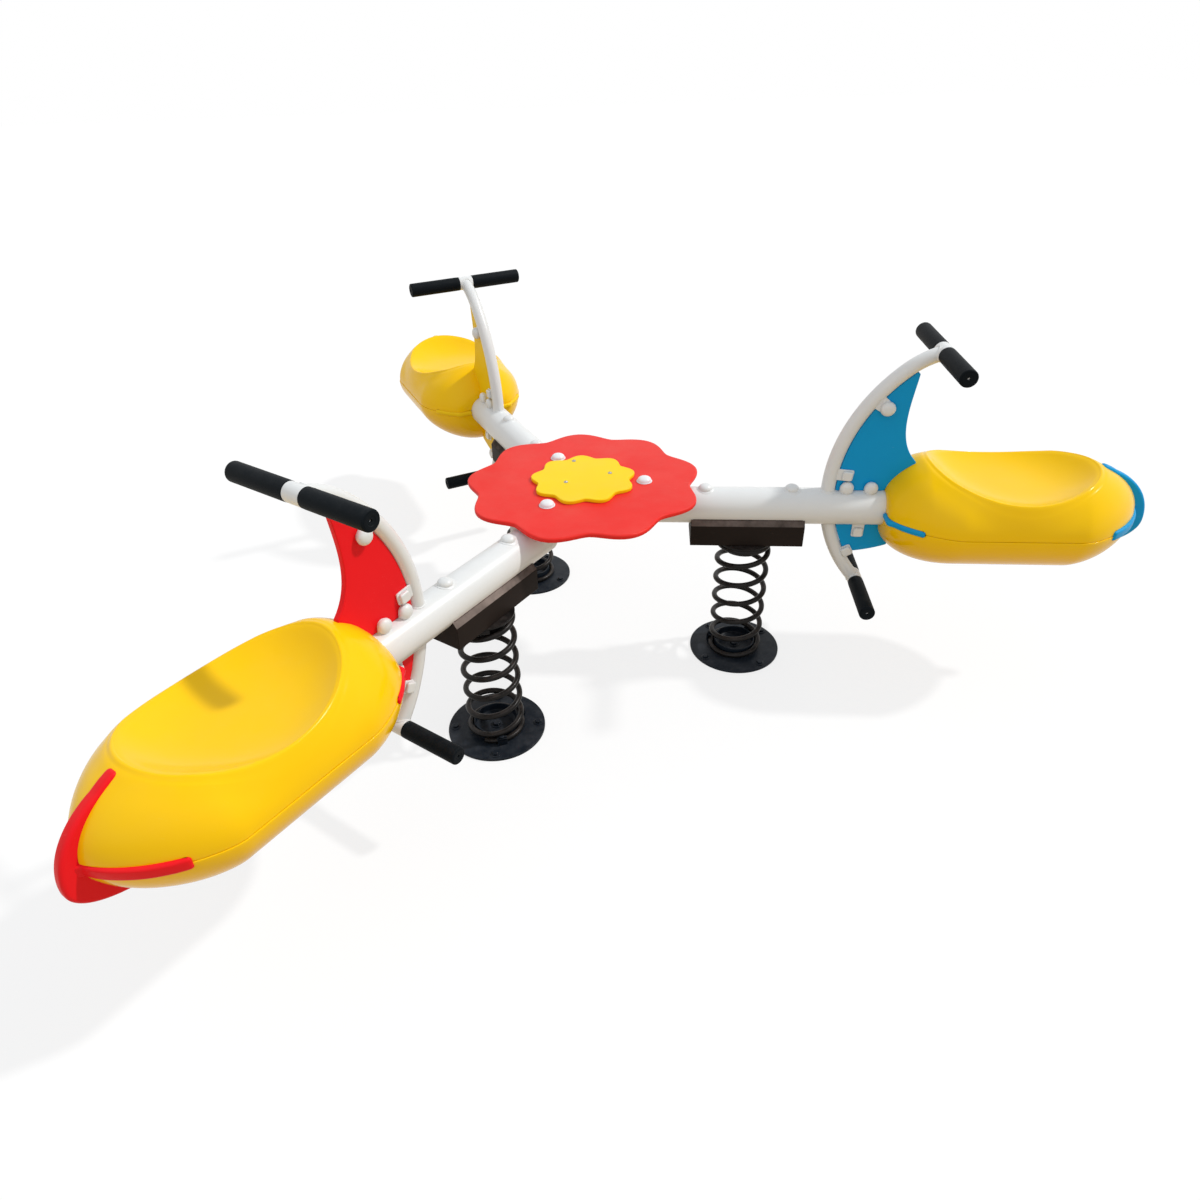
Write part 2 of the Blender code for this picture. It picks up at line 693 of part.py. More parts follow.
def make_beam(arm, parent, steel):
    sleeve = BEAM_RADIUS - BEAM_WALL
    mesh = rod_mesh("beam_" + arm, (BEAM_INNER_END, 0.0, BEAM_HEIGHT),
                    (BEAM_OUTER_END, 0.0, BEAM_HEIGHT), BEAM_RADIUS, ROUND_TUBE)
    beam = add_part("beam_" + arm, mesh, parent, steel)
    lugs = ((FIRST_BEAM_LUG_OUT, LUG_HEIGHT, 1.0), (SECOND_BEAM_LUG_OUT, LUG_HEIGHT, 1.0),
            (UNDER_LUG_OUT, UNDER_LUG_HEIGHT, -1.0))
    for number, (out, reach, sign) in enumerate(lugs):
        for side in (-1, 1):
            lug = lug_mesh("beam_lug", out, side, reach, sign)
            fuse(beam, add_cutter(f"beam_lug_{number}_{side}_{arm}", lug, parent))
    bore = rod_mesh("beam_bore", (BEAM_INNER_END - 0.01, 0.0, BEAM_HEIGHT),
                    (BEAM_OUTER_END + 0.01, 0.0, BEAM_HEIGHT), sleeve, ROUND_TUBE)
    cut(beam, add_cutter("beam_bore_" + arm, bore, parent))
    top = BEAM_HEIGHT - SEAT_PLATE_THICKNESS / 2 - GAP
    bracket = box_mesh("seat_bracket",
                       (BEAM_OUTER_END - 0.03, -SEAT_BRACKET_WIDTH / 2,
                        top - SEAT_BRACKET_THICKNESS),
                       (BEAM_OUTER_END - 0.03 + SEAT_BRACKET_LENGTH, SEAT_BRACKET_WIDTH / 2, top))
    bracket_part = add_cutter("seat_bracket_" + arm, bracket, parent)
    fuse(beam, bracket_part)
    for number, out in enumerate((INNER_BOLT_OUT, OUTER_BOLT_OUT)):
        hole = upright_cylinder("beam_hole", out, BEAM_HEIGHT - 0.08, BEAM_HEIGHT + 0.08,
                                BOLT_SHANK_RADIUS + GAP)
        cut(beam, add_cutter(f"beam_hole_{number}_{arm}", hole, parent))
    passage = tube_mesh("bow_passage", bow_points(BOW_STEPS)[2:8], BOW_TUBE_RADIUS + GAP, 2)
    cut(beam, add_cutter("bow_passage_" + arm, passage, parent))
    return beam


def make_bow(arm, parent, steel):
    mesh = tube_mesh("bow_" + arm, bow_points(BOW_STEPS), BOW_TUBE_RADIUS, 2)
    bow = add_part("bow_" + arm, mesh, parent, steel)
    ends = ((BOW_TOP_ANGLE, HANDLEBAR_LENGTH), (-BOW_BOTTOM_ANGLE, FOOT_BAR_LENGTH))
    for number, (angle, length) in enumerate(ends):
        bar = cross_bar_mesh(angle, length, BOW_TUBE_RADIUS, 0.0)
        fuse(bow, add_cutter(f"cross_bar_{number}_{arm}", bar, parent))
    lugs = ((HIGH_LUG_ANGLE, LUG_LENGTH), (MIDDLE_LUG_ANGLE, LUG_LENGTH),
            (-LOW_LUG_ANGLE, LOW_LUG_LENGTH))
    for number, (angle, length) in enumerate(lugs):
        for side in (-1, 1):
            lug = bow_lug_mesh("bow_lug", angle, side, length)
            fuse(bow, add_cutter(f"bow_lug_{number}_{side}_{arm}", lug, parent))
    inside = BOW_TUBE_RADIUS - BOW_TUBE_WALL
    core = tube_mesh("bow_core", bow_points(BOW_STEPS), inside, 2)
    cut(bow, add_cutter("bow_core_" + arm, core, parent))
    for number, (angle, length) in enumerate(ends):
        bore = cross_bar_mesh(angle, length, inside, 0.010)
        cut(bow, add_cutter(f"cross_bore_{number}_{arm}", bore, parent))


def cross_bar_mesh(angle, length, radius, extra):
    """The straight bar across an end of the bow, or the bore in it."""
    out, height = bow_axis_point(angle)
    half = length / 2 - GRIP_END_WALL - GAP + extra
    return rod_mesh("cross_bar", (out, -half, height), (out, half, height), radius, ROUND_GRIP)


def make_grips(arm, parent, rubber):
    ends = (("handle", BOW_TOP_ANGLE, HANDLEBAR_LENGTH), ("foot", -BOW_BOTTOM_ANGLE, FOOT_BAR_LENGTH))
    for kind, angle, length in ends:
        out, height = bow_axis_point(angle)
        for hand, side in (("left", 1), ("right", -1)):
            start = BAR_BARE_LENGTH / 2
            end = length / 2
            name = f"{kind}_grip_{hand}_{arm}"
            profile = [
                (GRIP_VENT_RADIUS, end),
                (GRIP_RADIUS, end),
                (GRIP_RADIUS, start),
                (BOW_TUBE_RADIUS + GAP, start),
                (BOW_TUBE_RADIUS + GAP, end - GRIP_END_WALL),
                (GRIP_VENT_RADIUS, end - GRIP_END_WALL),
                (GRIP_VENT_RADIUS, end),
            ]
            mesh = turned_mesh(name, profile, ROUND_GRIP)
            lay = Matrix.Rotation(math.radians(-90.0 * side), 4, "X")
            mesh.transform(Matrix.Translation((out, 0.0, height)) @ lay)
            add_part(name, mesh, parent, rubber)


def panel_inner_radius():
    return BOW_ARC_RADIUS - BOW_TUBE_RADIUS - PANEL_BOW_GAP


def angle_at_height(height, radius):
    return math.degrees(math.asin((height - BOW_CENTRE_HEIGHT) / radius))


def smooth_run(points, count):
    """Points on a smooth curve through a few given points."""
    chord = [0.0]
    for before, after in zip(points, points[1:]):
        chord.append(chord[-1] + math.dist(before, after))
    order = len(points) - 1
    spots = np.linspace(0.0, chord[-1], count)
    across = np.polyfit(chord, [point[0] for point in points], order)
    up = np.polyfit(chord, [point[1] for point in points], order)
    return [(float(np.polyval(across, s)), float(np.polyval(up, s))) for s in spots]


def seat_edge(crown, first, last, count):
    """Points just clear of the seat's nose, above or below, along the middle."""
    spots = []
    for out in np.linspace(first, last, count):
        _, rise, drop = seat_section(out)
        height = rise + PANEL_SEAT_GAP if crown else -drop - PANEL_SEAT_GAP
        spots.append((out - PANEL_SEAT_GAP, BEAM_HEIGHT + height))
    return spots


def make_panels(arm, parent, plastic):
    radius = panel_inner_radius()
    bottom = BEAM_TOP + GAP
    low_angle = angle_at_height(bottom, radius)
    bow_side = [bow_point(angle, radius) for angle in np.linspace(low_angle, PANEL_TIP_ANGLE, 9)]
    tip = (bow_side[-1][0] + PANEL_TIP_WIDTH, bow_side[-1][1] - 0.002)
    shelf = (PANEL_SHELF_OUT - 0.003, PANEL_SHELF_HEIGHT)
    rear = smooth_run([tip, (PANEL_SHELF_OUT - 0.050, PANEL_SHELF_HEIGHT + 0.130),
                       (PANEL_SHELF_OUT - 0.040, PANEL_SHELF_HEIGHT + 0.062), shelf], 8)
    nose = seat_edge(True, PANEL_SHELF_OUT + PANEL_SEAT_GAP - 0.004, SEAT_NOSE, 5)
    outline = bow_side + rear + [(PANEL_SHELF_OUT, PANEL_SHELF_HEIGHT - 0.004)] + nose
    outline.append((SEAT_NOSE - PANEL_SEAT_GAP, bottom))
    mesh = stand_plate(plate_mesh("panel_upper_" + arm, outline, PANEL_THICKNESS))
    panel = add_part("panel_upper_" + arm, mesh, parent, plastic)
    add_bevel(panel, PANEL_EDGE)

    top = BEAM_HEIGHT - BEAM_RADIUS - GAP
    high_angle = angle_at_height(top, radius)
    foot_angle = angle_at_height(PANEL_FOOT_HEIGHT - 0.026, radius)
    bow_side = [bow_point(angle, radius) for angle in np.linspace(foot_angle, high_angle, 5)]
    foot = (PANEL_FOOT_OUT - 0.004, PANEL_FOOT_HEIGHT)
    back = [(SEAT_NOSE - PANEL_SEAT_GAP, top)]
    back += seat_edge(False, SEAT_NOSE, PANEL_FOOT_OUT, 4)
    back.append((PANEL_FOOT_OUT, PANEL_FOOT_HEIGHT + 0.004))
    under = smooth_run([foot, (foot[0] - 0.040, foot[1] - 0.018), bow_side[0]], 4)
    outline = bow_side + back + under[:-1]
    mesh = stand_plate(plate_mesh("panel_lower_" + arm, outline, PANEL_THICKNESS))
    panel = add_part("panel_lower_" + arm, mesh, parent, plastic)
    add_bevel(panel, PANEL_EDGE)


def slot_box(name, low, high, parent):
    reach = SEAT_PLATE_THICKNESS / 2 + GAP
    side = 1.4 * SEAT_HALF_WIDTH
    mesh = box_mesh(name, (low, -side, BEAM_HEIGHT - reach), (high, side, BEAM_HEIGHT + reach))
    return add_cutter(name, mesh, parent)


def make_seat(arm, parent, yellow):
    mouth = rod_mesh("mouth", (SEAT_NOSE - 0.05, 0.0, BEAM_HEIGHT),
                     (SEAT_NOSE + 0.08, 0.0, BEAM_HEIGHT), BEAM_RADIUS + GAP, ROUND_TUBE)
    mouth = add_cutter("mouth_" + arm, mouth, parent)
    slots = (slot_box("front_slot_" + arm, SEAT_NOSE - 0.05, FRONT_SLOT_END, parent),
             slot_box("tail_slot_" + arm, TAIL_SLOT_START, SEAT_TAIL + 0.05, parent))
    half = FIN_THICKNESS / 2 + GAP
    fin_slot = stand_plate(plate_mesh("fin_slot", fin_outline(GAP, FIN_SLOT_RELIEF), 2 * half))
    fin_slot = add_cutter("fin_slot_" + arm, fin_slot, parent)
    for part_name, upper in (("seat_top_", True), ("seat_bottom_", False)):
        name = part_name + arm
        shell = add_part(name, half_form_mesh(name, upper, 0.0, 0.0), parent, yellow)
        core = add_cutter("core_" + name, half_form_mesh(name, upper, SEAT_WALL, 0.004), parent)
        if upper:
            cut(shell, add_cutter("dish_" + arm, dish_mesh("dish", 0.0), parent))
            cut(core, add_cutter("dish_wall_" + arm, dish_mesh("dish_wall", SEAT_WALL), parent))
        cut(shell, core)
        cut(shell, mouth)
        for slot in slots:
            cut(shell, slot)
        cut(shell, fin_slot)
        add_weld(shell)


def shell_width(out):
    """Half width of the faceted shell at the parting plane."""
    stations = seat_stations(0.0)
    widths = [seat_section(station)[0] for station in stations]
    return float(np.interp(out, stations, widths))


def plate_half_outline():
    """One side of the seat plate from the beam notch round to the fin slot."""
    proud, recess = SEAT_PLATE_PROUD, SEAT_PLATE_RECESS
    side = [(SEAT_NOSE - proud, BEAM_RADIUS + GAP), (SEAT_NOSE - proud, shell_width(SEAT_NOSE) * 0.9)]
    for out in np.linspace(SEAT_NOSE, FRONT_SLOT_END - SLOT_END_GAP, 5):
        side.append((out, shell_width(out) + proud))
    for out in np.linspace(FRONT_SLOT_END - SLOT_END_GAP, TAIL_SLOT_START + SLOT_END_GAP, 8):
        side.append((out, shell_width(out) - recess))
    tail_run = SEAT_TAIL - TAIL_SLOT_START - SLOT_END_GAP
    for out in SEAT_TAIL - tail_run * np.linspace(1.0, 0.0, 6) ** 1.6:
        width = shell_width(out) + proud
        if width > FIN_THICKNESS:
            side.append((out, width))
    side.append((SEAT_TAIL + proud, FIN_THICKNESS / 2 + GAP))
    return side


def make_seat_plate(arm, parent, plastic):
    side = plate_half_outline()
    slot_foot = SEAT_TAIL - FIN_DEPTH / 2
    notch = BEAM_OUTER_END + GAP
    outline = [(notch, BEAM_RADIUS + GAP)] + side + [(slot_foot, FIN_THICKNESS / 2 + GAP)]
    mirrored = [(out, -across) for out, across in reversed(outline)]
    mesh = plate_mesh("seat_plate_" + arm, outline + mirrored, SEAT_PLATE_THICKNESS)
    add_part("seat_plate_" + arm, lift_plate(mesh, BEAM_HEIGHT), parent, plastic)


def fin_outline(grow=0.0, relief=0.0):
    """Outline of the tail fin, or of its slot, which is grown and relieved inside."""
    outer = fin_arc(0.0, grow, 79.0, -64.0, 11)
    inner = fin_arc(FIN_DEPTH + relief, 0.0, 74.0, -58.0, 6)
    return outer + list(reversed(inner))


def make_fin(arm, parent, plastic):
    mesh = stand_plate(plate_mesh("tail_fin_" + arm, fin_outline(), FIN_THICKNESS))
    fin = add_part("tail_fin_" + arm, mesh, parent, plastic)
    add_bevel(fin, FIN_EDGE)
    reach = SEAT_PLATE_THICKNESS / 2 + GAP
    notch = box_mesh("fin_notch",
                     (SEAT_TAIL - 3 * FIN_DEPTH, -2 * FIN_THICKNESS, BEAM_HEIGHT - reach),
                     (SEAT_TAIL - FIN_DEPTH / 2 + GAP, 2 * FIN_THICKNESS, BEAM_HEIGHT + reach))
    cut(fin, add_cutter("fin_notch_" + arm, notch, parent))


def make_saddle(arm, parent, steel):
    start = SADDLE_CENTRE - SADDLE_LENGTH / 2
    end = SADDLE_CENTRE + SADDLE_LENGTH / 2

    def channel(name, inset, low, high, top):
        wide, narrow = SADDLE_HALF_WIDTH - inset, SADDLE_TOP_HALF_WIDTH - inset * 0.8
        outline = [(-wide, low), (wide, low), (wide, SADDLE_SHOULDER - inset * 0.3), (narrow, top),
                   (-narrow, top), (-wide, SADDLE_SHOULDER - inset * 0.3)]
        mesh = plate_mesh(name, outline, high)
        mesh.transform(Matrix.Rotation(math.radians(90.0), 4, "Z") @
                       Matrix.Rotation(math.radians(90.0), 4, "X"))
        mesh.transform(Matrix.Translation((SADDLE_CENTRE, 0.0, 0.0)))
        return mesh

    name = "saddle_" + arm
    outer = channel(name, 0.0, SADDLE_BOTTOM, end - start, SADDLE_TOP)
    saddle = add_part(name, outer, parent, steel)
    inner = channel("saddle_core", SADDLE_WALL, SADDLE_BOTTOM + SADDLE_WALL,
                    end - start - 2 * SADDLE_WALL, SADDLE_TOP + 0.010)
    cut(saddle, add_cutter("saddle_core_" + arm, inner, parent))
    bore = rod_mesh("saddle_bore", (start - 0.02, 0.0, BEAM_HEIGHT), (end + 0.02, 0.0, BEAM_HEIGHT),
                    BEAM_RADIUS + GAP, ROUND_TUBE)
    cut(saddle, add_cutter("saddle_bore_" + arm, bore, parent))
    for number, out in enumerate((INNER_BOLT_OUT, OUTER_BOLT_OUT)):
        hole = upright_cylinder("saddle_hole", out, SADDLE_BOTTOM - 0.02, SADDLE_BOTTOM + 0.02,
                                BOLT_SHANK_RADIUS + GAP)
        cut(saddle, add_cutter(f"saddle_hole_{number}_{arm}", hole, parent))


def coil_points():
    """The spring's wire: flat end turns and an even climb between them."""
    climb = COIL_TOP - COIL_BOTTOM
    total = SPRING_ACTIVE_TURNS + 2 * SPRING_END_TURNS
    count = round(total * SPRING_POINTS_PER_TURN)
    points = []
    for index in range(count + 1):
        turn = total * index / count
        active = min(max(turn - SPRING_END_TURNS, 0.0), SPRING_ACTIVE_TURNS)
        share = active / SPRING_ACTIVE_TURNS
        angle = 2 * math.pi * (turn + SPRING_START_TURN)
        points.append((SADDLE_CENTRE + COIL_RADIUS * math.cos(angle),
                       COIL_RADIUS * math.sin(angle), COIL_BOTTOM + climb * share))
    return points


def least_self_gap(points, radius, skip):
    """Least free space between parts of the wire that are not neighbours."""
    wire = []
    for before, after in zip(points, points[1:]):
        for step in range(4):
            wire.append(np.array(before) + (np.array(after) - np.array(before)) * step / 4)
    wire = np.array(wire)
    least = 1.0
    for index in range(len(wire) - skip):
        spread = np.linalg.norm(wire[index + skip:] - wire[index], axis=1)
        least = min(least, float(spread.min()))
    return least - 2 * radius


def clamp_mesh(name, turn, plate_height, up):
    """A small clamp block that holds an end turn of the coil."""
    inner = SPRING_OUTER_RADIUS + GAP
    wire_top = 2 * SPRING_WIRE_RADIUS + 2 * GAP
    profile = [(inner, -0.002), (inner, wire_top), (COIL_RADIUS, wire_top),
               (COIL_RADIUS, wire_top + CLAMP_THICKNESS), (inner + CLAMP_THICKNESS,
                                                           wire_top + CLAMP_THICKNESS),
               (inner + CLAMP_THICKNESS, -0.002)]
    mesh = stand_plate(plate_mesh(name, profile, CLAMP_WIDTH))
    flip = Matrix.Diagonal((1.0, 1.0, up, 1.0))
    place = Matrix.Translation((SADDLE_CENTRE, 0.0, plate_height))
    spin = Matrix.Rotation(math.radians(turn), 4, "Z")
    mesh.transform(place @ spin @ flip)
    if up < 0:
        mesh.flip_normals()
    return mesh


def make_spring(arm, parent, steel):
    points = coil_points()
    mesh = tube_mesh("spring_" + arm, points, SPRING_WIRE_RADIUS, 1)
    add_part("spring_" + arm, mesh, parent, steel)


def cup_profile(plate_radius, thickness, base, up):
    """A round plate with a shallow open cup that centres the coil."""
    lip = base + up * (thickness + CUP_HEIGHT)
    face = base + up * thickness
    floor = base + up * thickness * 1.5
    inner = CUP_RADIUS - CUP_WALL
    profile = [
        (0.0, floor),
        (inner, floor),
        (inner, lip),
        (CUP_RADIUS, lip),
        (CUP_RADIUS, face),
        (plate_radius - 0.002, face),
        (plate_radius, face - up * 0.002),
        (plate_radius, base),
        (0.0, base),
    ]
    return profile if up > 0 else list(reversed(profile))


def make_spring_ends(arm, frame, ground, steel):
    name = "spring_cup_" + arm
    profile = cup_profile(UPPER_FLANGE_RADIUS, UPPER_FLANGE_THICKNESS, SADDLE_BOTTOM - GAP, -1.0)
    mesh = turned_mesh(name, profile, ROUND_TUBE, (SADDLE_CENTRE, 0.0))
    add_part(name, mesh, frame, steel)

    name = "base_plate_" + arm
    profile = cup_profile(BASE_RADIUS, BASE_THICKNESS, 0.0, 1.0)
    mesh = turned_mesh(name, profile, ROUND_LARGE, (SADDLE_CENTRE, 0.0))
    base = add_part(name, mesh, ground, steel)
    for number in range(CLAMP_COUNT):
        turn = (SPRING_START_TURN + 0.10 + 0.30 * number) * 360.0
        clamp = clamp_mesh("clamp", turn, BASE_THICKNESS, 1.0)
        fuse(base, add_cutter(f"clamp_{number}_{arm}", clamp, ground))
    for number in range(BASE_HOLE_COUNT):
        turn = math.radians(BASE_HOLE_TURN + 360.0 * number / BASE_HOLE_COUNT)
        spot = (SADDLE_CENTRE + BASE_HOLE_CIRCLE * math.cos(turn),
                BASE_HOLE_CIRCLE * math.sin(turn))
        hole = rod_mesh("base_hole", (*spot, -0.01), (*spot, 0.03), BASE_HOLE_RADIUS, ROUND_SMALL)
        cut(base, add_cutter(f"base_hole_{number}_{arm}", hole, ground))


def make_bolts(arm, parent, steel):
    foot = HUB_PLATE_BOTTOM - GAP - BOLT_NUT_HEIGHT
    mesh = domed_bolt_mesh("hub_bolt_" + arm, HUB_BOLT_RADIUS_OUT, RED_TOP + GAP, foot)
    add_part("hub_bolt_" + arm, mesh, parent, steel)
    for label, out in zip(("inner", "outer"), (INNER_BOLT_OUT, OUTER_BOLT_OUT)):
        name = f"saddle_bolt_{label}_{arm}"
        foot = SADDLE_BOTTOM - GAP - BOLT_NUT_HEIGHT
        mesh = domed_bolt_mesh(name, out, BEAM_TOP + GAP, foot)
        add_part(name, mesh, parent, steel)


def footprint_centre():
    """Middle of the whole seesaw's outline on the ground, along X."""
    bpy.context.view_layer.update()
    graph = bpy.context.evaluated_depsgraph_get()
    low, high = math.inf, -math.inf
    for part in PARTS.objects:
        if part.type != "MESH":
            continue
        mesh = part.evaluated_get(graph).to_mesh()
        for vertex in mesh.vertices:
            across = (part.matrix_world @ vertex.co).x
            low, high = min(low, across), max(high, across)
        part.evaluated_get(graph).to_mesh_clear()
    return (low + high) / 2


def main():
    root = add_empty("seesaw")
    frame = add_empty("rocking_frame", root, (0.0, 0.0, ROCKING_HEIGHT))
    hub = add_empty("hub", frame, (0.0, 0.0, -ROCKING_HEIGHT))
    make_hub(hub)
    white = make_material("painted_tube", (0.80, 0.80, 0.78), 0.35)
    black = make_material("black_steel", (0.012, 0.012, 0.014), 0.35)
    rubber = make_material("black_rubber", (0.015, 0.018, 0.022), 0.70)
    yellow = make_material("seat_yellow", (0.950, 0.600, 0.010), 0.28)
    for arm, turn, colour in ARMS:
        spin = math.radians(turn)
        carried = add_empty("arm_" + arm, hub, turn=spin)
        ground = add_empty("footing_" + arm, root, turn=spin)
        plastic = make_material("panel_" + arm, colour, 0.40)
        make_beam(arm, carried, white)
        make_bow(arm, carried, white)
        make_grips(arm, carried, rubber)
        make_panels(arm, carried, plastic)
        make_seat(arm, carried, yellow)
        make_seat_plate(arm, carried, plastic)
        make_fin(arm, carried, plastic)
        make_saddle(arm, carried, black)
        make_spring(arm, carried, black)
        make_spring_ends(arm, carried, ground, black)
        make_bolts(arm, carried, white)
    root.location.x = -footprint_centre()
    bpy.context.view_layer.update()
    gap = least_self_gap(coil_points(), SPRING_WIRE_RADIUS, 4 * SPRING_POINTS_PER_TURN // 2)
    print(f"hub centre at X = {root.location.x:.5f} m")
    print(f"least gap between the spring's turns = {gap * 1000:.2f} mm")


clear_scene()
PARTS = new_collection("playground_seesaw")
CUTTERS = new_collection("cutters")
main()
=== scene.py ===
"""Finished look of the playground seesaw, built around its packed frame.

Three arms meet under a scalloped hub. Each arm has a painted beam on a coil spring, a bow with
a handlebar and a foot bar, coloured side panels and a moulded seat with a plate and a tail fin.
Metres, +Z up, the ground at Z = 0. Each arm's pieces are made along +X and then turned to the arm.
"""

import math

import bmesh
import bpy
import numpy as np
from bpy.props import FloatProperty, FloatVectorProperty, IntProperty, PointerProperty
from bpy.types import Operator, Panel, PropertyGroup
from mathutils import Matrix, Vector


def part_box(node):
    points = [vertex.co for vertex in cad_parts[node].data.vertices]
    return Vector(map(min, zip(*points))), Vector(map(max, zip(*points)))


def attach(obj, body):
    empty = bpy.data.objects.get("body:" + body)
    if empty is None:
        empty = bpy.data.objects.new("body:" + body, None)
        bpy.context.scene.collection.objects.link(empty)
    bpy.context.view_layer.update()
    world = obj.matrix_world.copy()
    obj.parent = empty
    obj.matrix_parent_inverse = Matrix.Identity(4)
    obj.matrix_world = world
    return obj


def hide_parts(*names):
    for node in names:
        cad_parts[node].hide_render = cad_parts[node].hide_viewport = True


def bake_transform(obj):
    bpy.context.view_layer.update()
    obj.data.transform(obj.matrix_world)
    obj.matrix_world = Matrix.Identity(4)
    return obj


bl_info = {
    "name": "Playground Seesaw",
    "version": (1, 0, 0),
    "blender": (4, 5, 0),
    "location": "View3D > Sidebar > Seesaw",
    "description": "Builds the painted, moulded and rubber pieces of a three-seat spring seesaw",
    "category": "Object",
}

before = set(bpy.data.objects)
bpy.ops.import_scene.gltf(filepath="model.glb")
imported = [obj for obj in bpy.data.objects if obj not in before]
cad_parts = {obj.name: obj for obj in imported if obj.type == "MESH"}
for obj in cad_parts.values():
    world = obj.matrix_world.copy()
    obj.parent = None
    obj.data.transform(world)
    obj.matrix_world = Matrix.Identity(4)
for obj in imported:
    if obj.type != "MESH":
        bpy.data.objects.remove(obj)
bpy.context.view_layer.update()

# Sizes that the pieces share with the packed frame, and a few that the photograph gave for the
# finished look alone. "Out" is a distance from the hub along an arm
ARMS = {"blue": 0.0, "yellow": 120.0, "red": 240.0}
HUB_LOW, HUB_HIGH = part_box("hub_plate")
HUB_X = (HUB_LOW.x + HUB_HIGH.x) / 2
GAP = 0.0003
BEAM_RADIUS = 0.057
BEAM_WALL = 0.004
BEAM_HEIGHT = 0.560
BEAM_TOP = BEAM_HEIGHT + BEAM_RADIUS
BEAM_INNER_END = 0.222
BEAM_OUTER_END = 1.120
RED_TOP = BEAM_TOP + 0.0236
BOW_RADIUS = 0.486
BOW_CENTRE = (1.242, 0.624)
BOW_TOP_ANGLE = 61.2
BOW_BOTTOM_ANGLE = 42.4
TUBE_RADIUS = 0.021
HANDLEBAR_LENGTH = 0.428
FOOT_BAR_LENGTH = 0.418
PANEL_THICKNESS = 0.016
SEAT_NOSE = 0.925
SEAT_TAIL = 1.659
FRONT_SLOT_HALF = 0.0093
TAIL_SLOT_HALF = 0.0125
FRONT_SLOT_END = 1.012
TAIL_SLOT_START = 1.540
SEAM_STEP = 0.0022
DISH_CENTRE = 1.276
DISH_HALF_LENGTH = 0.236
DISH_HALF_WIDTH = 0.185
DISH_DATUM = 0.171
FIN_THICKNESS = 0.028
SADDLE_CENTRE = 0.515
SADDLE_LENGTH = 0.350
SADDLE_BOTTOM = 0.447
COIL_OUTER = 0.089
WIRE_RADIUS = 0.0088
COIL_BOTTOM = 0.0166
COIL_TOP = 0.4321

# Radius and height of the bolt heads and nuts
BOLT_HEAD = (0.0105, 0.009)

# Number of flats round turned and swept pieces
FINE = 96
MEDIUM = 48
SMALL = 32


def length(name, default, text, low=0.0):
    """A size that a user may change."""
    return FloatProperty(name=name, description=text, default=default, min=low,
                         unit="LENGTH", subtype="DISTANCE", precision=4)


def paint(name, default, text):
    """A colour that a user may change."""
    return FloatVectorProperty(name=name, description=text, default=default, size=3,
                               min=0.0, max=1.0, subtype="COLOR")


class SEESAW_PG_finish(PropertyGroup):
    """Colours of the seesaw's paints and plastics."""

    steel: paint("Tube paint", (0.762, 0.776, 0.776), "Gloss paint of the beams and bows")
    cap: paint("Bolt caps", (0.830, 0.835, 0.850), "Plastic caps over the bolts")
    seat: paint("Seat", (0.975, 0.594, 0.002), "Moulded plastic of the seats")
    blue: paint("Blue panels", (0.002, 0.330, 0.700), "Sheet plastic of the blue arm")
    yellow: paint("Yellow panels", (0.950, 0.610, 0.004), "Sheet plastic of the yellow arm")
    red: paint("Red panels", (0.860, 0.008, 0.014), "Sheet plastic of the red arm")
    disc: paint("Hub disc", (0.820, 0.026, 0.020), "Sheet plastic of the scalloped disc")
    centre: paint("Centre disc", (0.960, 0.660, 0.003), "Sheet plastic of the small disc")
    black: paint("Black paint", (0.0055, 0.0048, 0.0046), "Paint of the springs and saddles")
    base: paint("Base paint", (0.0066, 0.0098, 0.0150), "Paint of the base plates")
    rubber: paint("Grips", (0.0040, 0.0060, 0.0080), "Rubber of the grips")
    zinc: paint("Zinc", (0.42, 0.42, 0.43), "Plating of the small screws")


class SEESAW_PG_edges(PropertyGroup):
    """Edge roundings, weld sizes and fastener sizes."""

    disc_edge: length("Disc edge", 0.0055, "Rounding of the hub disc's rim")
    panel_edge: length("Panel edge", 0.0022, "Rounding of the side panels' rim")
    plate_edge: length("Seat plate edge", 0.0068, "Rounding of the seat plate's rim")
    fin_edge: length("Fin edge", 0.0085, "Rounding of the tail fin's rim")
    weld: length("Weld size", 0.0028, "Radius of a weld bead")
    weld_pitch: length("Weld pitch", 0.0042, "Length of one ripple of a weld bead", 0.001)
    cap_radius: length("Cap radius", 0.0215, "Radius of a bolt cap")
    cap_height: length("Cap height", 0.0150, "Height of a bolt cap")
    collar: length("Collar radius", 0.0232, "Radius of the steel band between two grips")


class SEESAW_PG_seat(PropertyGroup):
    """Form of the moulded seats."""

    wall: length("Wall", 0.004, "Thickness of the moulded shell")
    lip: length("Dish lip", 0.0075, "How softly the lip of the dish is rounded")
    seam: length("Seam", 0.0012, "Rounding of the edges along the parting seam")
    depth: length("Dish depth", 0.089, "Depth of the dish's floor below a level 171 mm "
                  "over the parting seam")
    rays: IntProperty(name="Rays", description="Lines of the mesh round the dish",
                      default=168, min=48)


class SEESAW_PG_spring(PropertyGroup):
    """Form of the coil springs."""

    active_turns: FloatProperty(name="Active turns", description="Turns that climb",
                                default=5.7, min=1.0)
    end_turns: FloatProperty(name="End turns", description="Flat turns at each end",
                             default=0.7, min=0.1)
    start_turn: FloatProperty(name="Start", description="Where the wire starts, in turns",
                              default=0.04)


SETTINGS = {"seesaw_finish": SEESAW_PG_finish, "seesaw_edges": SEESAW_PG_edges,
            "seesaw_seat": SEESAW_PG_seat, "seesaw_spring": SEESAW_PG_spring}


# Shapes

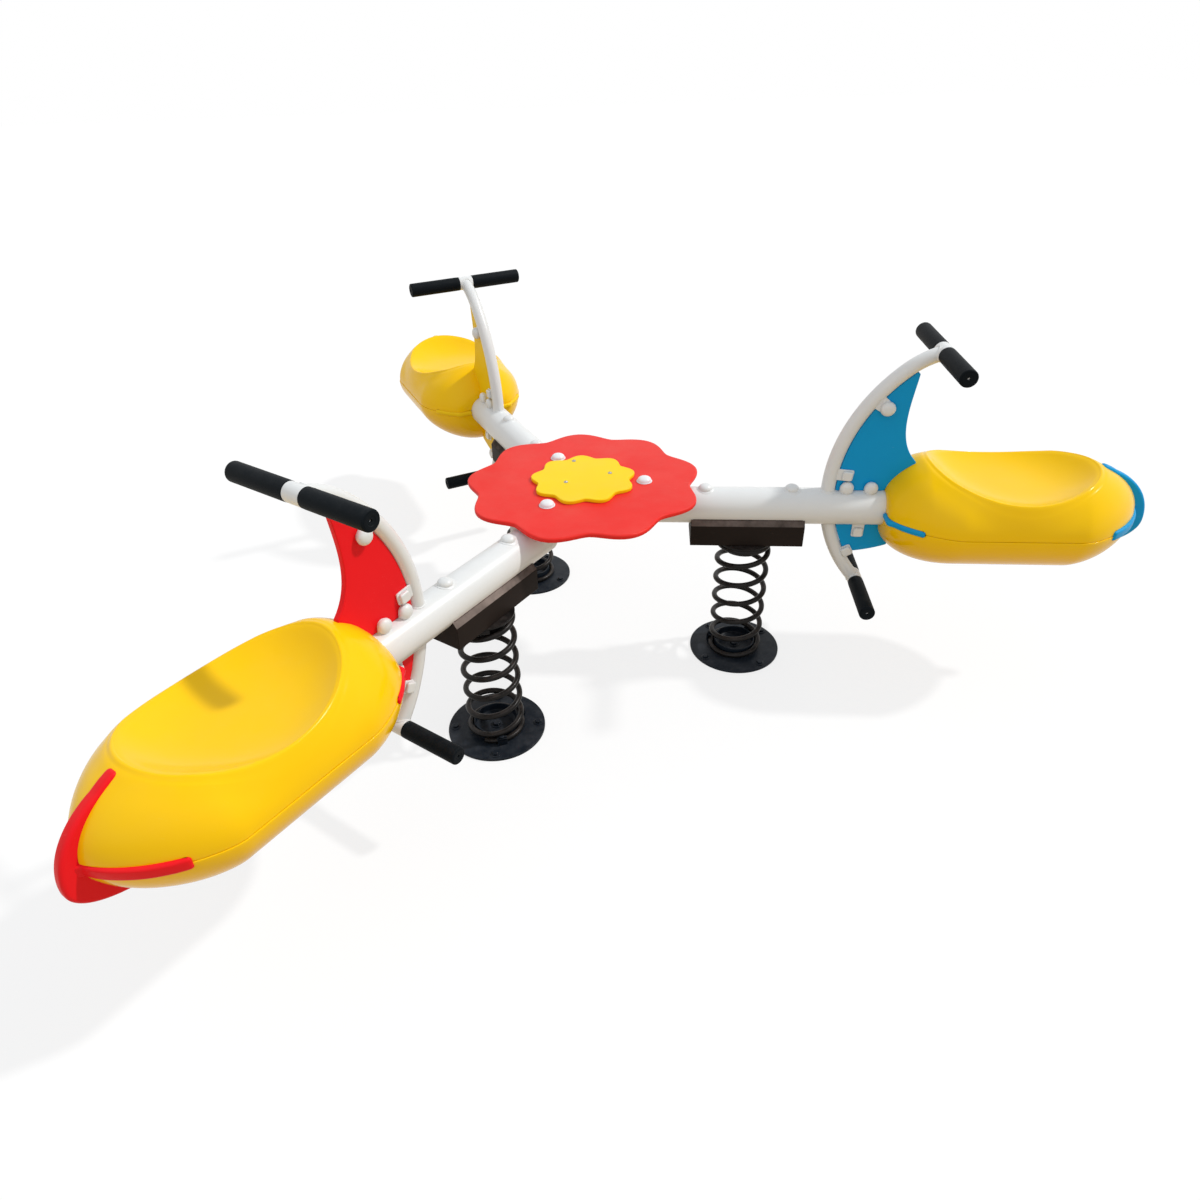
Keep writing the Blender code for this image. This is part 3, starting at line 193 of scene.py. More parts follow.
class Shape:
    """Points and faces of one piece, gathered from simple forms."""

    def __init__(self):
        self.points = []
        self.faces = []
        self.finishes = []

    def add(self, form, place=None, finish=0):
        points, faces = form
        start = len(self.points)
        for point in points:
            spot = Vector(point)
            self.points.append(place @ spot if place is not None else spot)
        self.faces += [tuple(start + index for index in face) for face in faces]
        self.finishes += [finish] * len(faces)
        return self


def strips(ring_count, size, closed_rings=False):
    """Quads between rings of equal size, one after another."""
    faces = []
    for ring in range(ring_count if closed_rings else ring_count - 1):
        low = ring * size
        high = ((ring + 1) % ring_count) * size
        for index in range(size):
            after = (index + 1) % size
            faces.append((low + index, low + after, high + after, high + index))
    return faces


def rounded(points, radius, steps=4, closed=True):
    """An outline whose corners are replaced by small arcs. The radius may be one per corner."""
    points = [np.array(point, float) for point in points]
    radii = [radius] * len(points) if np.isscalar(radius) else list(radius)
    result = []
    for index, corner in enumerate(points):
        ends = not closed and index in (0, len(points) - 1)
        before = points[index - 1] - corner
        after = points[(index + 1) % len(points)] - corner
        reach_before, reach_after = np.linalg.norm(before), np.linalg.norm(after)
        if ends or radii[index] <= 0.0 or min(reach_before, reach_after) < 1e-9:
            result.append(corner)
            continue
        before, after = before / reach_before, after / reach_after
        cosine = float(np.clip(before @ after, -1.0, 1.0))
        half = math.acos(cosine) / 2
        if half > math.radians(87.0):
            result.append(corner)
            continue
        cut = min(radii[index] / math.tan(half), 0.48 * reach_before, 0.48 * reach_after)
        start, end = corner + before * cut, corner + after * cut
        for share in np.linspace(0.0, 1.0, steps + 1):
            result.append((1 - share) ** 2 * start + 2 * share * (1 - share) * corner
                          + share ** 2 * end)
    return result


def full_turn(sides):
    """Angles spread evenly round a full turn."""
    return np.linspace(0.0, 2 * math.pi, sides, endpoint=False)


def circle(radius, sides=FINE):
    """A round outline."""
    return [(radius * math.cos(angle), radius * math.sin(angle)) for angle in full_turn(sides)]


def rectangle(low, high):
    """The four corners of an upright rectangle."""
    return [(low[0], low[1]), (high[0], low[1]), (high[0], high[1]), (low[0], high[1])]


def lathe(profile, sides=MEDIUM, closed=False):
    """A form turned about Z from (radius, height) points."""
    points = [(x, y, height) for radius, height in profile for x, y in circle(radius, sides)]
    return points, strips(len(profile), sides, closed_rings=closed)


def bar(radius, low, high, sides=24):
    """A plain round bar or washer between two heights."""
    return lathe([(0.0, low), (radius, low), (radius, high), (0.0, high)], sides)


def signed_area(outline):
    """Area of an outline, negative where it runs clockwise."""
    area = 0.0
    for (x0, y0), (x1, y1) in zip(outline, outline[1:] + outline[:1]):
        area += x0 * y1 - x1 * y0
    return area / 2


def inward(outline):
    """Unit steps into an outline at each of its points, longer at corners."""
    steps = []
    count = len(outline)
    for index in range(count):
        spot = np.array(outline[index])
        before = spot - np.array(outline[index - 1])
        after = np.array(outline[(index + 1) % count]) - spot
        sides = []
        for edge in (before, after):
            edge = edge / max(np.linalg.norm(edge), 1e-9)
            sides.append(np.array((-edge[1], edge[0])))
        middle = sides[0] + sides[1]
        middle /= max(np.linalg.norm(middle), 1e-9)
        steps.append(middle / max(float(middle @ sides[0]), 0.6))
    return steps


def plate(outline, thickness, edge, steps=4, inset=0.0015):
    """A flat plate in X and Y with a rounded rim, centred on Z = 0."""
    outline = [tuple(map(float, spot)) for spot in outline]
    if signed_area(outline) < 0:
        outline.reverse()
    push = inward(outline)
    half = thickness / 2
    rims = []
    for angle in np.linspace(0.0, math.pi / 2, steps + 1):
        rims.append((edge * (1 - math.cos(angle)), half - edge * (1 - math.sin(angle))))
    rims.append((edge + inset, half))
    levels = [(offset, -height) for offset, height in reversed(rims)] + rims
    points = []
    for offset, height in levels:
        for (across, up), step in zip(outline, push):
            points.append((across + step[0] * offset, up + step[1] * offset, height))
    size = len(outline)
    faces = strips(len(levels), size)
    faces.append(tuple(reversed(range(size))))
    faces.append(tuple((len(levels) - 1) * size + index for index in range(size)))
    return points, faces


def sweep(path, radius, sides=SMALL, closed=False):
    """A round bar along a path. The radius may be one per point of the path."""
    path = np.array(path, float)
    count = len(path)
    if closed:
        tangents = np.roll(path, -1, axis=0) - np.roll(path, 1, axis=0)
    else:
        tangents = np.gradient(path, axis=0)
    tangents /= np.linalg.norm(tangents, axis=1)[:, None]
    radii = np.full(count, radius) if np.isscalar(radius) else np.array(radius, float)
    upright = abs(tangents[0][2]) >= 0.9
    side = np.cross(tangents[0], (1.0, 0.0, 0.0) if upright else (0.0, 0.0, 1.0))
    angles = full_turn(sides)
    points = []
    for index in range(count):
        side = side - tangents[index] * (side @ tangents[index])
        side /= np.linalg.norm(side)
        other = np.cross(tangents[index], side)
        for angle in angles:
            spot = path[index] + radii[index] * (side * math.cos(angle) + other * math.sin(angle))
            points.append(tuple(spot))
    faces = strips(count, sides, closed_rings=closed)
    if not closed:
        faces.append(tuple(reversed(range(sides))))
        faces.append(tuple((count - 1) * sides + index for index in range(sides)))
    return points, faces


def bead(path, radius, pitch, sides=8):
    """A rippled weld bead round a closed path, whose points are spread evenly first."""
    path = np.array(path, float)
    ring = np.vstack([path, path[:1]])
    runs = np.concatenate([[0.0], np.cumsum(np.linalg.norm(np.diff(ring, axis=0), axis=1))])
    ripples = max(round(runs[-1] / pitch), 6)
    spots = np.linspace(0.0, runs[-1], ripples * 4, endpoint=False)
    even = np.stack([np.interp(spots, runs, ring[:, axis]) for axis in range(3)], axis=1)
    swell = 1.0 + 0.13 * np.abs(np.sin(math.pi * spots / runs[-1] * ripples))
    return sweep(even, radius * swell, sides, closed=True)


def lifted(form, height):
    """A form moved up."""
    points, faces = form
    return [(x, y, z + height) for x, y, z in points], faces


def box(low, high, edge=0.001):
    """A block with rounded upright corners and rims."""
    outline = rounded(rectangle(low, high), 2 * edge)
    return lifted(plate(outline, high[2] - low[2], edge, steps=2, inset=0.0004),
                  (low[2] + high[2]) / 2)


def hexagon(radius, height):
    """A bolt head or nut with a slightly domed top, standing on Z = 0."""
    outline = rounded(circle(radius, 6), radius * 0.12, 2)
    return lifted(plate(outline, height, height * 0.16, 3, 0.0004), height / 2)


def dome(radius, height, foot=0.0):
    """A snap-on bolt cap standing on Z = foot, with a short upright skirt."""
    skirt = height * 0.22
    profile = [(0.0, foot), (radius * 0.98, foot), (radius, foot + 0.0006)]
    for angle in np.linspace(0.0, math.pi / 2, 12):
        profile.append((radius * math.cos(angle) ** 0.86,
                        foot + skirt + (height - skirt) * math.sin(angle)))
    return lathe(profile, SMALL)


def turned_to(axis):
    """A turn that lays +Z along another axis."""
    return Vector((0.0, 0.0, 1.0)).rotation_difference(Vector(axis)).to_matrix().to_4x4()


def at(x, y, z):
    """A move without a turn."""
    return Matrix.Translation((x, y, z))


def turned(degrees, axis="Z"):
    """A turn about one of the main axes."""
    return Matrix.Rotation(math.radians(degrees), 4, axis)


STAND = turned(90.0, "X")
ALONG_X = turned(90.0) @ STAND
UPSIDE_DOWN = Matrix.Rotation(math.pi, 4, "X")


def arm_place(arm):
    """The place of an arm whose pieces were made along +X."""
    return at(HUB_X, 0.0, 0.0) @ turned(ARMS[arm])


def make_mesh(name, shape, smooth_angle=40.0):
    """A clean mesh from a shape: merged points, outward faces, smooth where it is gentle."""
    mesh = bpy.data.meshes.new(name)
    mesh.from_pydata([tuple(point) for point in shape.points], [], shape.faces)
    mesh.polygons.foreach_set("material_index", shape.finishes)
    bm = bmesh.new()
    bm.from_mesh(mesh)
    bmesh.ops.remove_doubles(bm, verts=bm.verts, dist=0.000002)
    bmesh.ops.dissolve_degenerate(bm, edges=bm.edges, dist=0.000001)
    bmesh.ops.recalc_face_normals(bm, faces=bm.faces)
    bm.to_mesh(mesh)
    bm.free()
    mesh.shade_smooth()
    mesh.set_sharp_from_angle(angle=math.radians(smooth_angle))
    return mesh


def show(name, mesh, materials, nodes=(), place=None, body="rocking_frame"):
    """Put a mesh in the scene as a piece that rides on a body of the frame."""
    if place is not None:
        mesh = mesh.copy()
        mesh.transform(place)
    mesh.name = name
    mesh.materials.clear()
    for material in materials:
        mesh.materials.append(material)
    piece = bpy.data.objects.new(name, mesh)
    bpy.context.scene.collection.objects.link(piece)
    if body:
        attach(piece, body)
    if nodes:
        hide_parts(*nodes)
    return piece


def show_on_arms(*pieces, lay=None, body="rocking_frame"):
    """Put pieces on each arm.

    Each is given as (name, mesh, materials, slot, CAD node), with {} for the arm in its names.
    """
    for arm in ARMS:
        place = arm_place(arm) if lay is None else arm_place(arm) @ lay
        for name, mesh, materials, slot, cad_node in pieces:
            chosen = materials(arm) if callable(materials) else materials
            show(name.format(arm), mesh, chosen, [cad_node.format(arm)],
                 place, body)


def frozen(item, name):
    """The item's mesh with its modifiers applied. The item is removed."""
    bpy.context.view_layer.update()
    graph = bpy.context.evaluated_depsgraph_get()
    mesh = bpy.data.meshes.new_from_object(item.evaluated_get(graph))
    mesh.name = name
    bpy.data.objects.remove(item, do_unlink=True)
    return mesh


# Shader effects shared by several materials

def node(tree, kind, links=(), **values):
    """A shader node with its properties, its socket values and its incoming links."""
    made = tree.nodes.new(kind)
    for label, value in values.items():
        setattr(made, label, value)
    for socket, source in links:
        if isinstance(source, bpy.types.NodeSocket):
            tree.links.new(source, made.inputs[socket])
        else:
            made.inputs[socket].default_value = source
    return made


def noise(tree, spot, scale, detail, roughness=0.5):
    """Cloudy patches, from 0 to 1."""
    return node(tree, "ShaderNodeTexNoise",
                [("Vector", spot), ("Scale", scale), ("Detail", detail),
                 ("Roughness", roughness)]).outputs["Fac"]


def stretched(tree, value, low, high):
    """A value whose run from low to high is spread over 0 to 1."""
    return node(tree, "ShaderNodeMapRange",
                [("Value", value), ("From Min", low), ("From Max", high)]).outputs["Result"]


def combined(tree, first, second, operation="MULTIPLY"):
    """Two values multiplied, or put together by another operation."""
    return node(tree, "ShaderNodeMath", [(0, first), (1, second)],
                operation=operation).outputs["Value"]


def blended(tree, share, first, second):
    """A colour that gives way to a second one by a share."""
    return node(tree, "ShaderNodeMix", [("Factor", share), (6, first), (7, second)],
                data_type="RGBA").outputs[2]


def surface_grain(group, spot, given):
    """Fine and coarse waviness of a moulded or painted surface, as a height."""
    return node(group, "ShaderNodeMix",
                [("Factor", given["Coarse Share"]),
                 ("A", noise(group, spot, given["Fine Scale"], 2.0)),
                 ("B", noise(group, spot, given["Coarse Scale"], 2.0))]).outputs["Result"]


def colour_drift(group, spot, given):
    """Slow patches in which a colour leans towards a second one."""
    patches = stretched(group, noise(group, spot, given["Scale"], 5.0, 0.6), 0.35, 0.65)
    return blended(group, combined(group, patches, given["Amount"]), given["Colour"],
                   given["Second Colour"])


def scuffs(group, spot, given):
    """Sparse thin scratches and rubbed spots, as a mask."""
    drawn_out = node(group, "ShaderNodeMapping",
                     [("Vector", spot), ("Rotation", (0.4, 0.7, 0.9)),
                      ("Scale", (1.0, 9.0, 3.0))]).outputs["Vector"]
    thin = stretched(group, noise(group, drawn_out, given["Scale"], 6.0, 0.7), 0.62, 0.74)
    patch = stretched(group, noise(group, spot, 9.0, 3.0), 0.48, 0.68)
    return combined(group, combined(group, thin, patch), given["Amount"])


def settled_dust(group, spot, given):
    """Dust on faces that look up, as a mask."""
    facing = node(group, "ShaderNodeSeparateXYZ",
                  [("Vector", node(group, "ShaderNodeNewGeometry").outputs["Normal"])])
    up = stretched(group, facing.outputs["Z"], 0.35, 0.95)
    cloud = stretched(group, noise(group, spot, given["Scale"], 7.0, 0.65), 0.38, 0.72)
    return combined(group, combined(group, up, cloud), given["Amount"])


# Each effect: what builds it, its inputs with their defaults, and its output
EFFECTS = {
    "surface_grain": (surface_grain, {"Fine Scale": 900.0, "Coarse Scale": 60.0,
                                      "Coarse Share": 0.5}, "Height"),
    "colour_drift": (colour_drift, {"Colour": (0.8, 0.8, 0.8, 1.0),
                                    "Second Colour": (0.7, 0.7, 0.7, 1.0),
                                    "Scale": 4.0, "Amount": 0.5}, "Colour"),
    "scuffs": (scuffs, {"Scale": 30.0, "Amount": 0.3}, "Mask"),
    "settled_dust": (settled_dust, {"Scale": 25.0, "Amount": 0.3}, "Mask"),
}


def effect_group(name):
    """The shader group of a shared effect, built once."""
    group = bpy.data.node_groups.get(name)
    if group is not None:
        return group
    build, inputs, output = EFFECTS[name]
    group = bpy.data.node_groups.new(name, "ShaderNodeTree")
    for label, default in inputs.items():
        kind = "NodeSocketColor" if isinstance(default, tuple) else "NodeSocketFloat"
        socket = group.interface.new_socket(label, in_out="INPUT", socket_type=kind)
        socket.default_value = default
    kind = "NodeSocketColor" if output == "Colour" else "NodeSocketFloat"
    group.interface.new_socket(output, in_out="OUTPUT", socket_type=kind)
    given = node(group, "NodeGroupInput").outputs
    end = node(group, "NodeGroupOutput")
    spot = node(group, "ShaderNodeTexCoord").outputs["Object"]
    group.links.new(build(group, spot, given), end.inputs[output])
    return group


def effect(tree, name, links):
    """A shared effect placed in a material with its own values."""
    return node(tree, "ShaderNodeGroup", links, node_tree=effect_group(name)).outputs[0]


def finish(name, colour, second, roughness, worn, grain, scuff, dust, drift=(3.0, 0.5),
           metallic=0.0, specular=0.5):
    """A finished surface.

    worn is the colour under scuffs; grain is (fine scale, coarse scale, coarse share, depth);
    scuff and drift are (scale, amount); dust is (scale, amount, colour).
    """
    material = bpy.data.materials.get(name)
    if material is not None:
        return material
    material = bpy.data.materials.new(name)
    material.use_nodes = True
    material.diffuse_color = (*colour, 1.0)
    tree = material.node_tree
    shader = tree.nodes["Principled BSDF"]
    drifted = effect(tree, "colour_drift", [("Colour", (*colour, 1.0)),
                                            ("Second Colour", (*second, 1.0)),
                                            ("Scale", drift[0]), ("Amount", drift[1])])
    rubbed = effect(tree, "scuffs", zip(("Scale", "Amount"), scuff))
    top_dusting_and_highlight = effect(tree, "settled_dust", zip(("Scale", "Amount"), dust))
    scuffed = blended(tree, rubbed, drifted, (*worn, 1.0))
    tree.links.new(blended(tree, top_dusting_and_highlight, scuffed, (*dust[2], 1.0)), shader.inputs["Base Color"])
    rough = node(tree, "ShaderNodeMapRange",
                 [("Value", combined(tree, rubbed, top_dusting_and_highlight, "ADD")), ("To Min", roughness),
                  ("To Max", min(roughness + 0.45, 1.0))])
    tree.links.new(rough.outputs["Result"], shader.inputs["Roughness"])
    height = effect(tree, "surface_grain",
                    zip(("Fine Scale", "Coarse Scale", "Coarse Share"), grain))
    bump = node(tree, "ShaderNodeBump",
                [("Strength", 1.0), ("Distance", grain[3]), ("Height", height)])
    tree.links.new(bump.outputs["Normal"], shader.inputs["Normal"])
    shader.inputs["Metallic"].default_value = metallic
    shader.inputs["Specular IOR Level"].default_value = specular
    return material


PALE_DUST = (0.55, 0.50, 0.42)


def setting(key):
    """A colour from the settings."""
    return tuple(getattr(bpy.context.scene.seesaw_finish, key))


def washed(key, share, lift):
    """A colour from the settings as it looks where it is rubbed pale."""
    return tuple(share * channel + lift for channel in setting(key))


def tinted(name, key, shade, *rest, **options):
    """A finish in a colour from the settings, which drifts towards a shade of it."""
    colour = setting(key)
    second = tuple(min(channel * shade, 1.0) for channel in colour)
    return finish(name, colour, second, *rest, **options)


def tube_paint():
    return tinted("white_tube_paint", "steel", 0.93, 0.30, (0.42, 0.42, 0.41),
                  (700.0, 130.0, 0.75, 0.00010), (40.0, 0.22), (18.0, 0.06, PALE_DUST))


def cap_plastic():
    return tinted("white_cap_plastic", "cap", 0.93, 0.38, (0.6, 0.6, 0.6),
                  (1200.0, 180.0, 0.4, 0.00008), (70.0, 0.25), (60.0, 0.10, PALE_DUST))


def seat_plastic():
    return finish("yellow_seat_plastic", setting("seat"), (0.955, 0.548, 0.002), 0.155,
                  (0.95, 0.72, 0.12), (650.0, 26.0, 0.80, 0.00035), (26.0, 0.34),
                  (9.0, 0.02, PALE_DUST), drift=(2.2, 0.45), specular=0.13)


def panel_sheet(arm):
    """The one finish of the sheet pieces on an arm."""
    return [tinted("panel_plastic_" + arm, arm, 0.90, 0.42, washed(arm, 0.5, 0.35),
                   (520.0, 90.0, 0.35, 0.00012), (34.0, 0.26), (20.0, 0.02, PALE_DUST),
                   specular=0.14)]


def disc_plastic(name, key):
    return tinted(name, key, 0.92, 0.40, washed(key, 0.6, 0.30), (520.0, 30.0, 0.5, 0.00016),
                  (22.0, 0.36), (7.0, 0.07, (0.80, 0.45, 0.35)), drift=(5.0, 0.6),
                  specular=0.14)


# Faces that look up lean towards a warm dark brown: a dusting, and a painted highlight on the tops
# of the springs' turns.
def black_paint():
    return tinted("black_steel_paint", "black", 1.9, 0.30, (0.13, 0.11, 0.10),
                  (600.0, 90.0, 0.6, 0.00014), (45.0, 0.30), (30.0, 0.34, (0.12, 0.095, 0.085)),
                  specular=0.16)


# Near-black paint whose faces that look up turn a pale warm brown: that brown is painted sunlight
# on the saddle's sloped upper strip.
def saddle_paint():
    return finish("sun_faded_saddle_paint", (0.017, 0.0125, 0.0105), (0.026, 0.019, 0.016), 0.52,
                  (0.16, 0.13, 0.12), (600.0, 90.0, 0.6, 0.00014), (45.0, 0.30),
                  (3.5, 1.9, (0.42, 0.34, 0.305)), specular=0.05)


def base_paint():
    return tinted("base_plate_paint", "base", 1.8, 0.30, (0.12, 0.11, 0.10),
                  (500.0, 60.0, 0.6, 0.00018), (50.0, 0.35), (26.0, 0.30, (0.080, 0.085, 0.095)),
                  specular=0.12)


def grip_rubber():
    return tinted("black_grip_rubber", "rubber", 1.7, 0.52, (0.085, 0.090, 0.095),
                  (1500.0, 380.0, 0.45, 0.00022), (60.0, 0.50), (40.0, 0.10, (0.09, 0.09, 0.09)),
                  specular=0.06)


def zinc_plate():
    return tinted("zinc_plate", "zinc", 0.75, 0.36, (0.2, 0.2, 0.2),
                  (900.0, 200.0, 0.5, 0.00010), (90.0, 0.3), (80.0, 0.10, PALE_DUST),
                  metallic=0.9)


# Hub

LOBES = 9
LOBE_TURN = math.radians(17.0)
DISC_TIP, DISC_NOTCH, DISC_THICKNESS = 0.372, 0.333, 0.015
SMALL_DISC_TIP, SMALL_DISC_NOTCH, SMALL_DISC_THICKNESS = 0.166, 0.144, 0.012
UNDER_PLATE_RADIUS = 0.300
UNDER_PLATE_THICKNESS = 0.008
CRADLE_OUT = 0.267
CRADLE_LENGTH = 0.058
CRADLE_THICKNESS = 0.007
HUB_BOLT_OUT = 0.192
SCREW_SPOTS = ((-0.039, 0.119), (0.083, 0.031), (-0.051, -0.035))
SCREW_PROFILE = [(0.0, 0.0), (0.0068, 0.0), (0.0068, 0.0008), (0.0052, 0.0012),
                 (0.0050, 0.0020), (0.0040, 0.0034), (0.0022, 0.0040), (0.0018, 0.0028),
                 (0.0, 0.0028)]


def lobed(tip, notch, per_lobe=18):
    """The wavy edge of a hub disc."""
    outline = []
    for angle in full_turn(LOBES * per_lobe):
        wave = (0.5 + 0.5 * math.cos(LOBES * angle)) ** 0.8
        radius = notch + (tip - notch) * wave
        outline.append((radius * math.cos(angle + LOBE_TURN),
                        radius * math.sin(angle + LOBE_TURN)))
    return outline


def hugging(outer, radius, start, end, steps=20):
    """A cross-section in Y and Z that follows the beam tube on one side."""
    arc = []
    for angle in np.linspace(math.radians(start), math.radians(end), steps):
        arc.append((radius * math.cos(angle), BEAM_HEIGHT + radius * math.sin(angle)))
    return rounded(outer, 0.004, 4, closed=False) + arc


class SEESAW_OT_hub(Operator):
    """Build the scalloped hub disc, its small disc, the plate under them and their bolts"""

    bl_idname = "seesaw.build_hub"
    bl_label = "Build Hub"

    def execute(self, context):
        edges = context.scene.seesaw_edges
        middle = at(HUB_X, 0.0, 0.0)
        disc = Shape().add(plate(lobed(DISC_TIP, DISC_NOTCH), DISC_THICKNESS, edges.disc_edge,
                                 6, 0.004), at(0.0, 0.0, RED_TOP - DISC_THICKNESS / 2))
        show("hub_scalloped_disc", make_mesh("disc", disc),
             [disc_plastic("hub_disc_plastic", "disc")], ["hub_disc"], middle)
        small = Shape().add(plate(lobed(SMALL_DISC_TIP, SMALL_DISC_NOTCH, 12),
                                  SMALL_DISC_THICKNESS, 0.0030, 5, 0.002),
                            at(0.0, 0.0, RED_TOP + GAP + SMALL_DISC_THICKNESS / 2))
        show("hub_small_disc", make_mesh("small", small),
             [disc_plastic("centre_disc_plastic", "centre")], ["hub_centre_disc"],
             middle)

        under = Shape()
        under.add(plate(circle(UNDER_PLATE_RADIUS), UNDER_PLATE_THICKNESS, 0.0015, 3, 0.002),
                  at(0.0, 0.0, BEAM_TOP + GAP + UNDER_PLATE_THICKNESS / 2))
        cheek = BEAM_RADIUS + CRADLE_THICKNESS
        low, high = BEAM_TOP - 0.040, BEAM_TOP + GAP + 0.001
        section = hugging([(-cheek, low), (-cheek, high), (cheek, high), (cheek, low)],
                          BEAM_RADIUS + GAP, 16.6, 163.4)
        for turn in ARMS.values():
            place = turned(turn) @ at(CRADLE_OUT, 0.0, 0.0) @ ALONG_X
            under.add(plate(section, CRADLE_LENGTH, 0.0015, 2, 0.001), place)
        show("hub_under_plate", make_mesh("under", under), [tube_paint()],
             ["hub_plate"], middle)

        screws = Shape()
        for x, y in SCREW_SPOTS:
            screws.add(lathe(SCREW_PROFILE, 24), at(x, y, RED_TOP + GAP + SMALL_DISC_THICKNESS))
        show("hub_small_screws", make_mesh("screws", screws), [zinc_plate()],
             place=middle)

        bolt = Shape()
        bolt.add(dome(edges.cap_radius, edges.cap_height, 0.0012), at(HUB_BOLT_OUT, 0.0, RED_TOP))
        washer = rounded([(0.0, 0.0), (0.0245, 0.0), (0.0245, 0.0018), (0.0, 0.0018)],
                         [0, 0.0006, 0.0008, 0], 3)
        bolt.add(lathe(washer, SMALL), at(HUB_BOLT_OUT, 0.0, RED_TOP + GAP))
        foot = at(HUB_BOLT_OUT, 0.0, BEAM_TOP - BOLT_HEAD[1])
        bolt.add(hexagon(*BOLT_HEAD), foot)
        bolt.add(bar(0.0055, 0.0, 0.024), foot)
        show_on_arms(("hub_cap_bolt_{}", make_mesh("bolt", bolt), [cap_plastic()],
                      "white_paint", "hub_bolt_{}"))
        return {"FINISHED"}


# Beams

# Where a bow's upper end starts to bend in, and by how much
TIP_BEND_ANGLE = 12.0
TIP_BEND = 0.012

# Radius and height of the lugs' caps
SQUARE_CAP = (0.0175, 0.0110)
BEAM_CAP = (0.0205, 0.0170)
BOW_CAP = (0.0215, 0.0180)
LUG_THICKNESS = 0.0055
CAP_INSET = 0.0185

# Each pair of lugs on the beam: distance from the hub, reach, width, side, and whether blunt
BEAM_LUGS = ((0.808, 0.031, 0.036, 1.0, False), (0.880, 0.031, 0.036, 1.0, False),
             (0.864, 0.045, 0.037, -1.0, True))
LUG_WELD = 0.0022

# Distance of the saddle's bolts from the hub, and the washers' (radius, lift) under their caps
SADDLE_BOLTS = (("inner", 0.3825), ("outer", 0.6475))
WASHER_RINGS = ((0.0, 0.0012), (0.020, 0.0012), (0.0262, 0.0006), (0.0278, -0.0012))


def on_bow_circle(angle, radius):
    """A point (out, up) at a radius from the bow's centre, at an angle above level."""
    turn = math.radians(180.0 - angle)
    return BOW_CENTRE[0] + radius * math.cos(turn), BOW_CENTRE[1] + radius * math.sin(turn)


def bow_axis(angle):
    """A point (out, up) of the bow's middle line, and its direction."""
    def spot(value):
        share = max(value - BOW_TOP_ANGLE + TIP_BEND_ANGLE, 0.0) / TIP_BEND_ANGLE
        return np.array(on_bow_circle(value, BOW_RADIUS - TIP_BEND * share ** 2))
    ahead = spot(angle + 0.05) - spot(angle - 0.05)
    return spot(angle), ahead / np.linalg.norm(ahead)


def bow_skin(angle, around):
    """A point on the bow tube's surface."""
    here, ahead = bow_axis(angle)
    outward = np.array((ahead[1], -ahead[0]))
    flat = here + outward * TUBE_RADIUS * math.cos(around)
    return np.array((flat[0], TUBE_RADIUS * math.sin(around), flat[1]))


def bow_beam_joint(top):
    """Where the bow's skin meets the beam's skin, above or below."""
    ring = []
    for around in full_turn(FINE):
        inside, outside = -7.5, (14.0 if top else -32.0)
        for _ in range(34):
            middle = (inside + outside) / 2
            spot = bow_skin(middle, around)
            if math.hypot(spot[1], spot[2] - BEAM_HEIGHT) < BEAM_RADIUS:
                inside = middle
            else:
                outside = middle
        ring.append(bow_skin((inside + outside) / 2, around))
    return ring


def finger(width, reach, blunt, root):
    """Outline of a lug from its root at Y = 0 to its end, blunt or round."""
    half = width / 2
    if blunt:
        return rounded(rectangle((-half, -root), (half, reach)), [0.0, 0.0, 0.007, 0.007], 6)
    head = [(half * math.cos(a), reach - half + half * math.sin(a))
            for a in np.linspace(0.0, math.pi, 15)]
    return [(-half * 1.15, -root), (half * 1.15, -root)] + head


def lug_pair(shape, place, width, reach, blunt, round_cap, root=0.004):
    """Two lugs beside the panel, each with a square bolt cap on it where blunt, or a round one."""
    cap_radius, cap_height = SQUARE_CAP if blunt else round_cap
    across = cap_radius * 0.86
    square = rounded(rectangle((-across, -across), (across, across)), 0.008, 6)
    side = PANEL_THICKNESS / 2 + GAP + LUG_THICKNESS / 2
    face = side + LUG_THICKNESS / 2
    for sign in (-1.0, 1.0):
        shape.add(plate(finger(width, reach, blunt, root), LUG_THICKNESS, 0.0016, 3, 0.0008),
                  place @ at(0.0, 0.0, sign * side))
        if blunt:
            lift = at(0.0, reach - CAP_INSET, sign * (face + cap_height / 2 - 0.001))
            shape.add(plate(square, cap_height, 0.0045, 6, 0.0010), place @ lift, 1)
        else:
            lift = at(0.0, reach - CAP_INSET, sign * face)
            shape.add(dome(cap_radius, cap_height),
                      place @ lift @ (UPSIDE_DOWN if sign < 0 else Matrix.Identity(4)), 1)


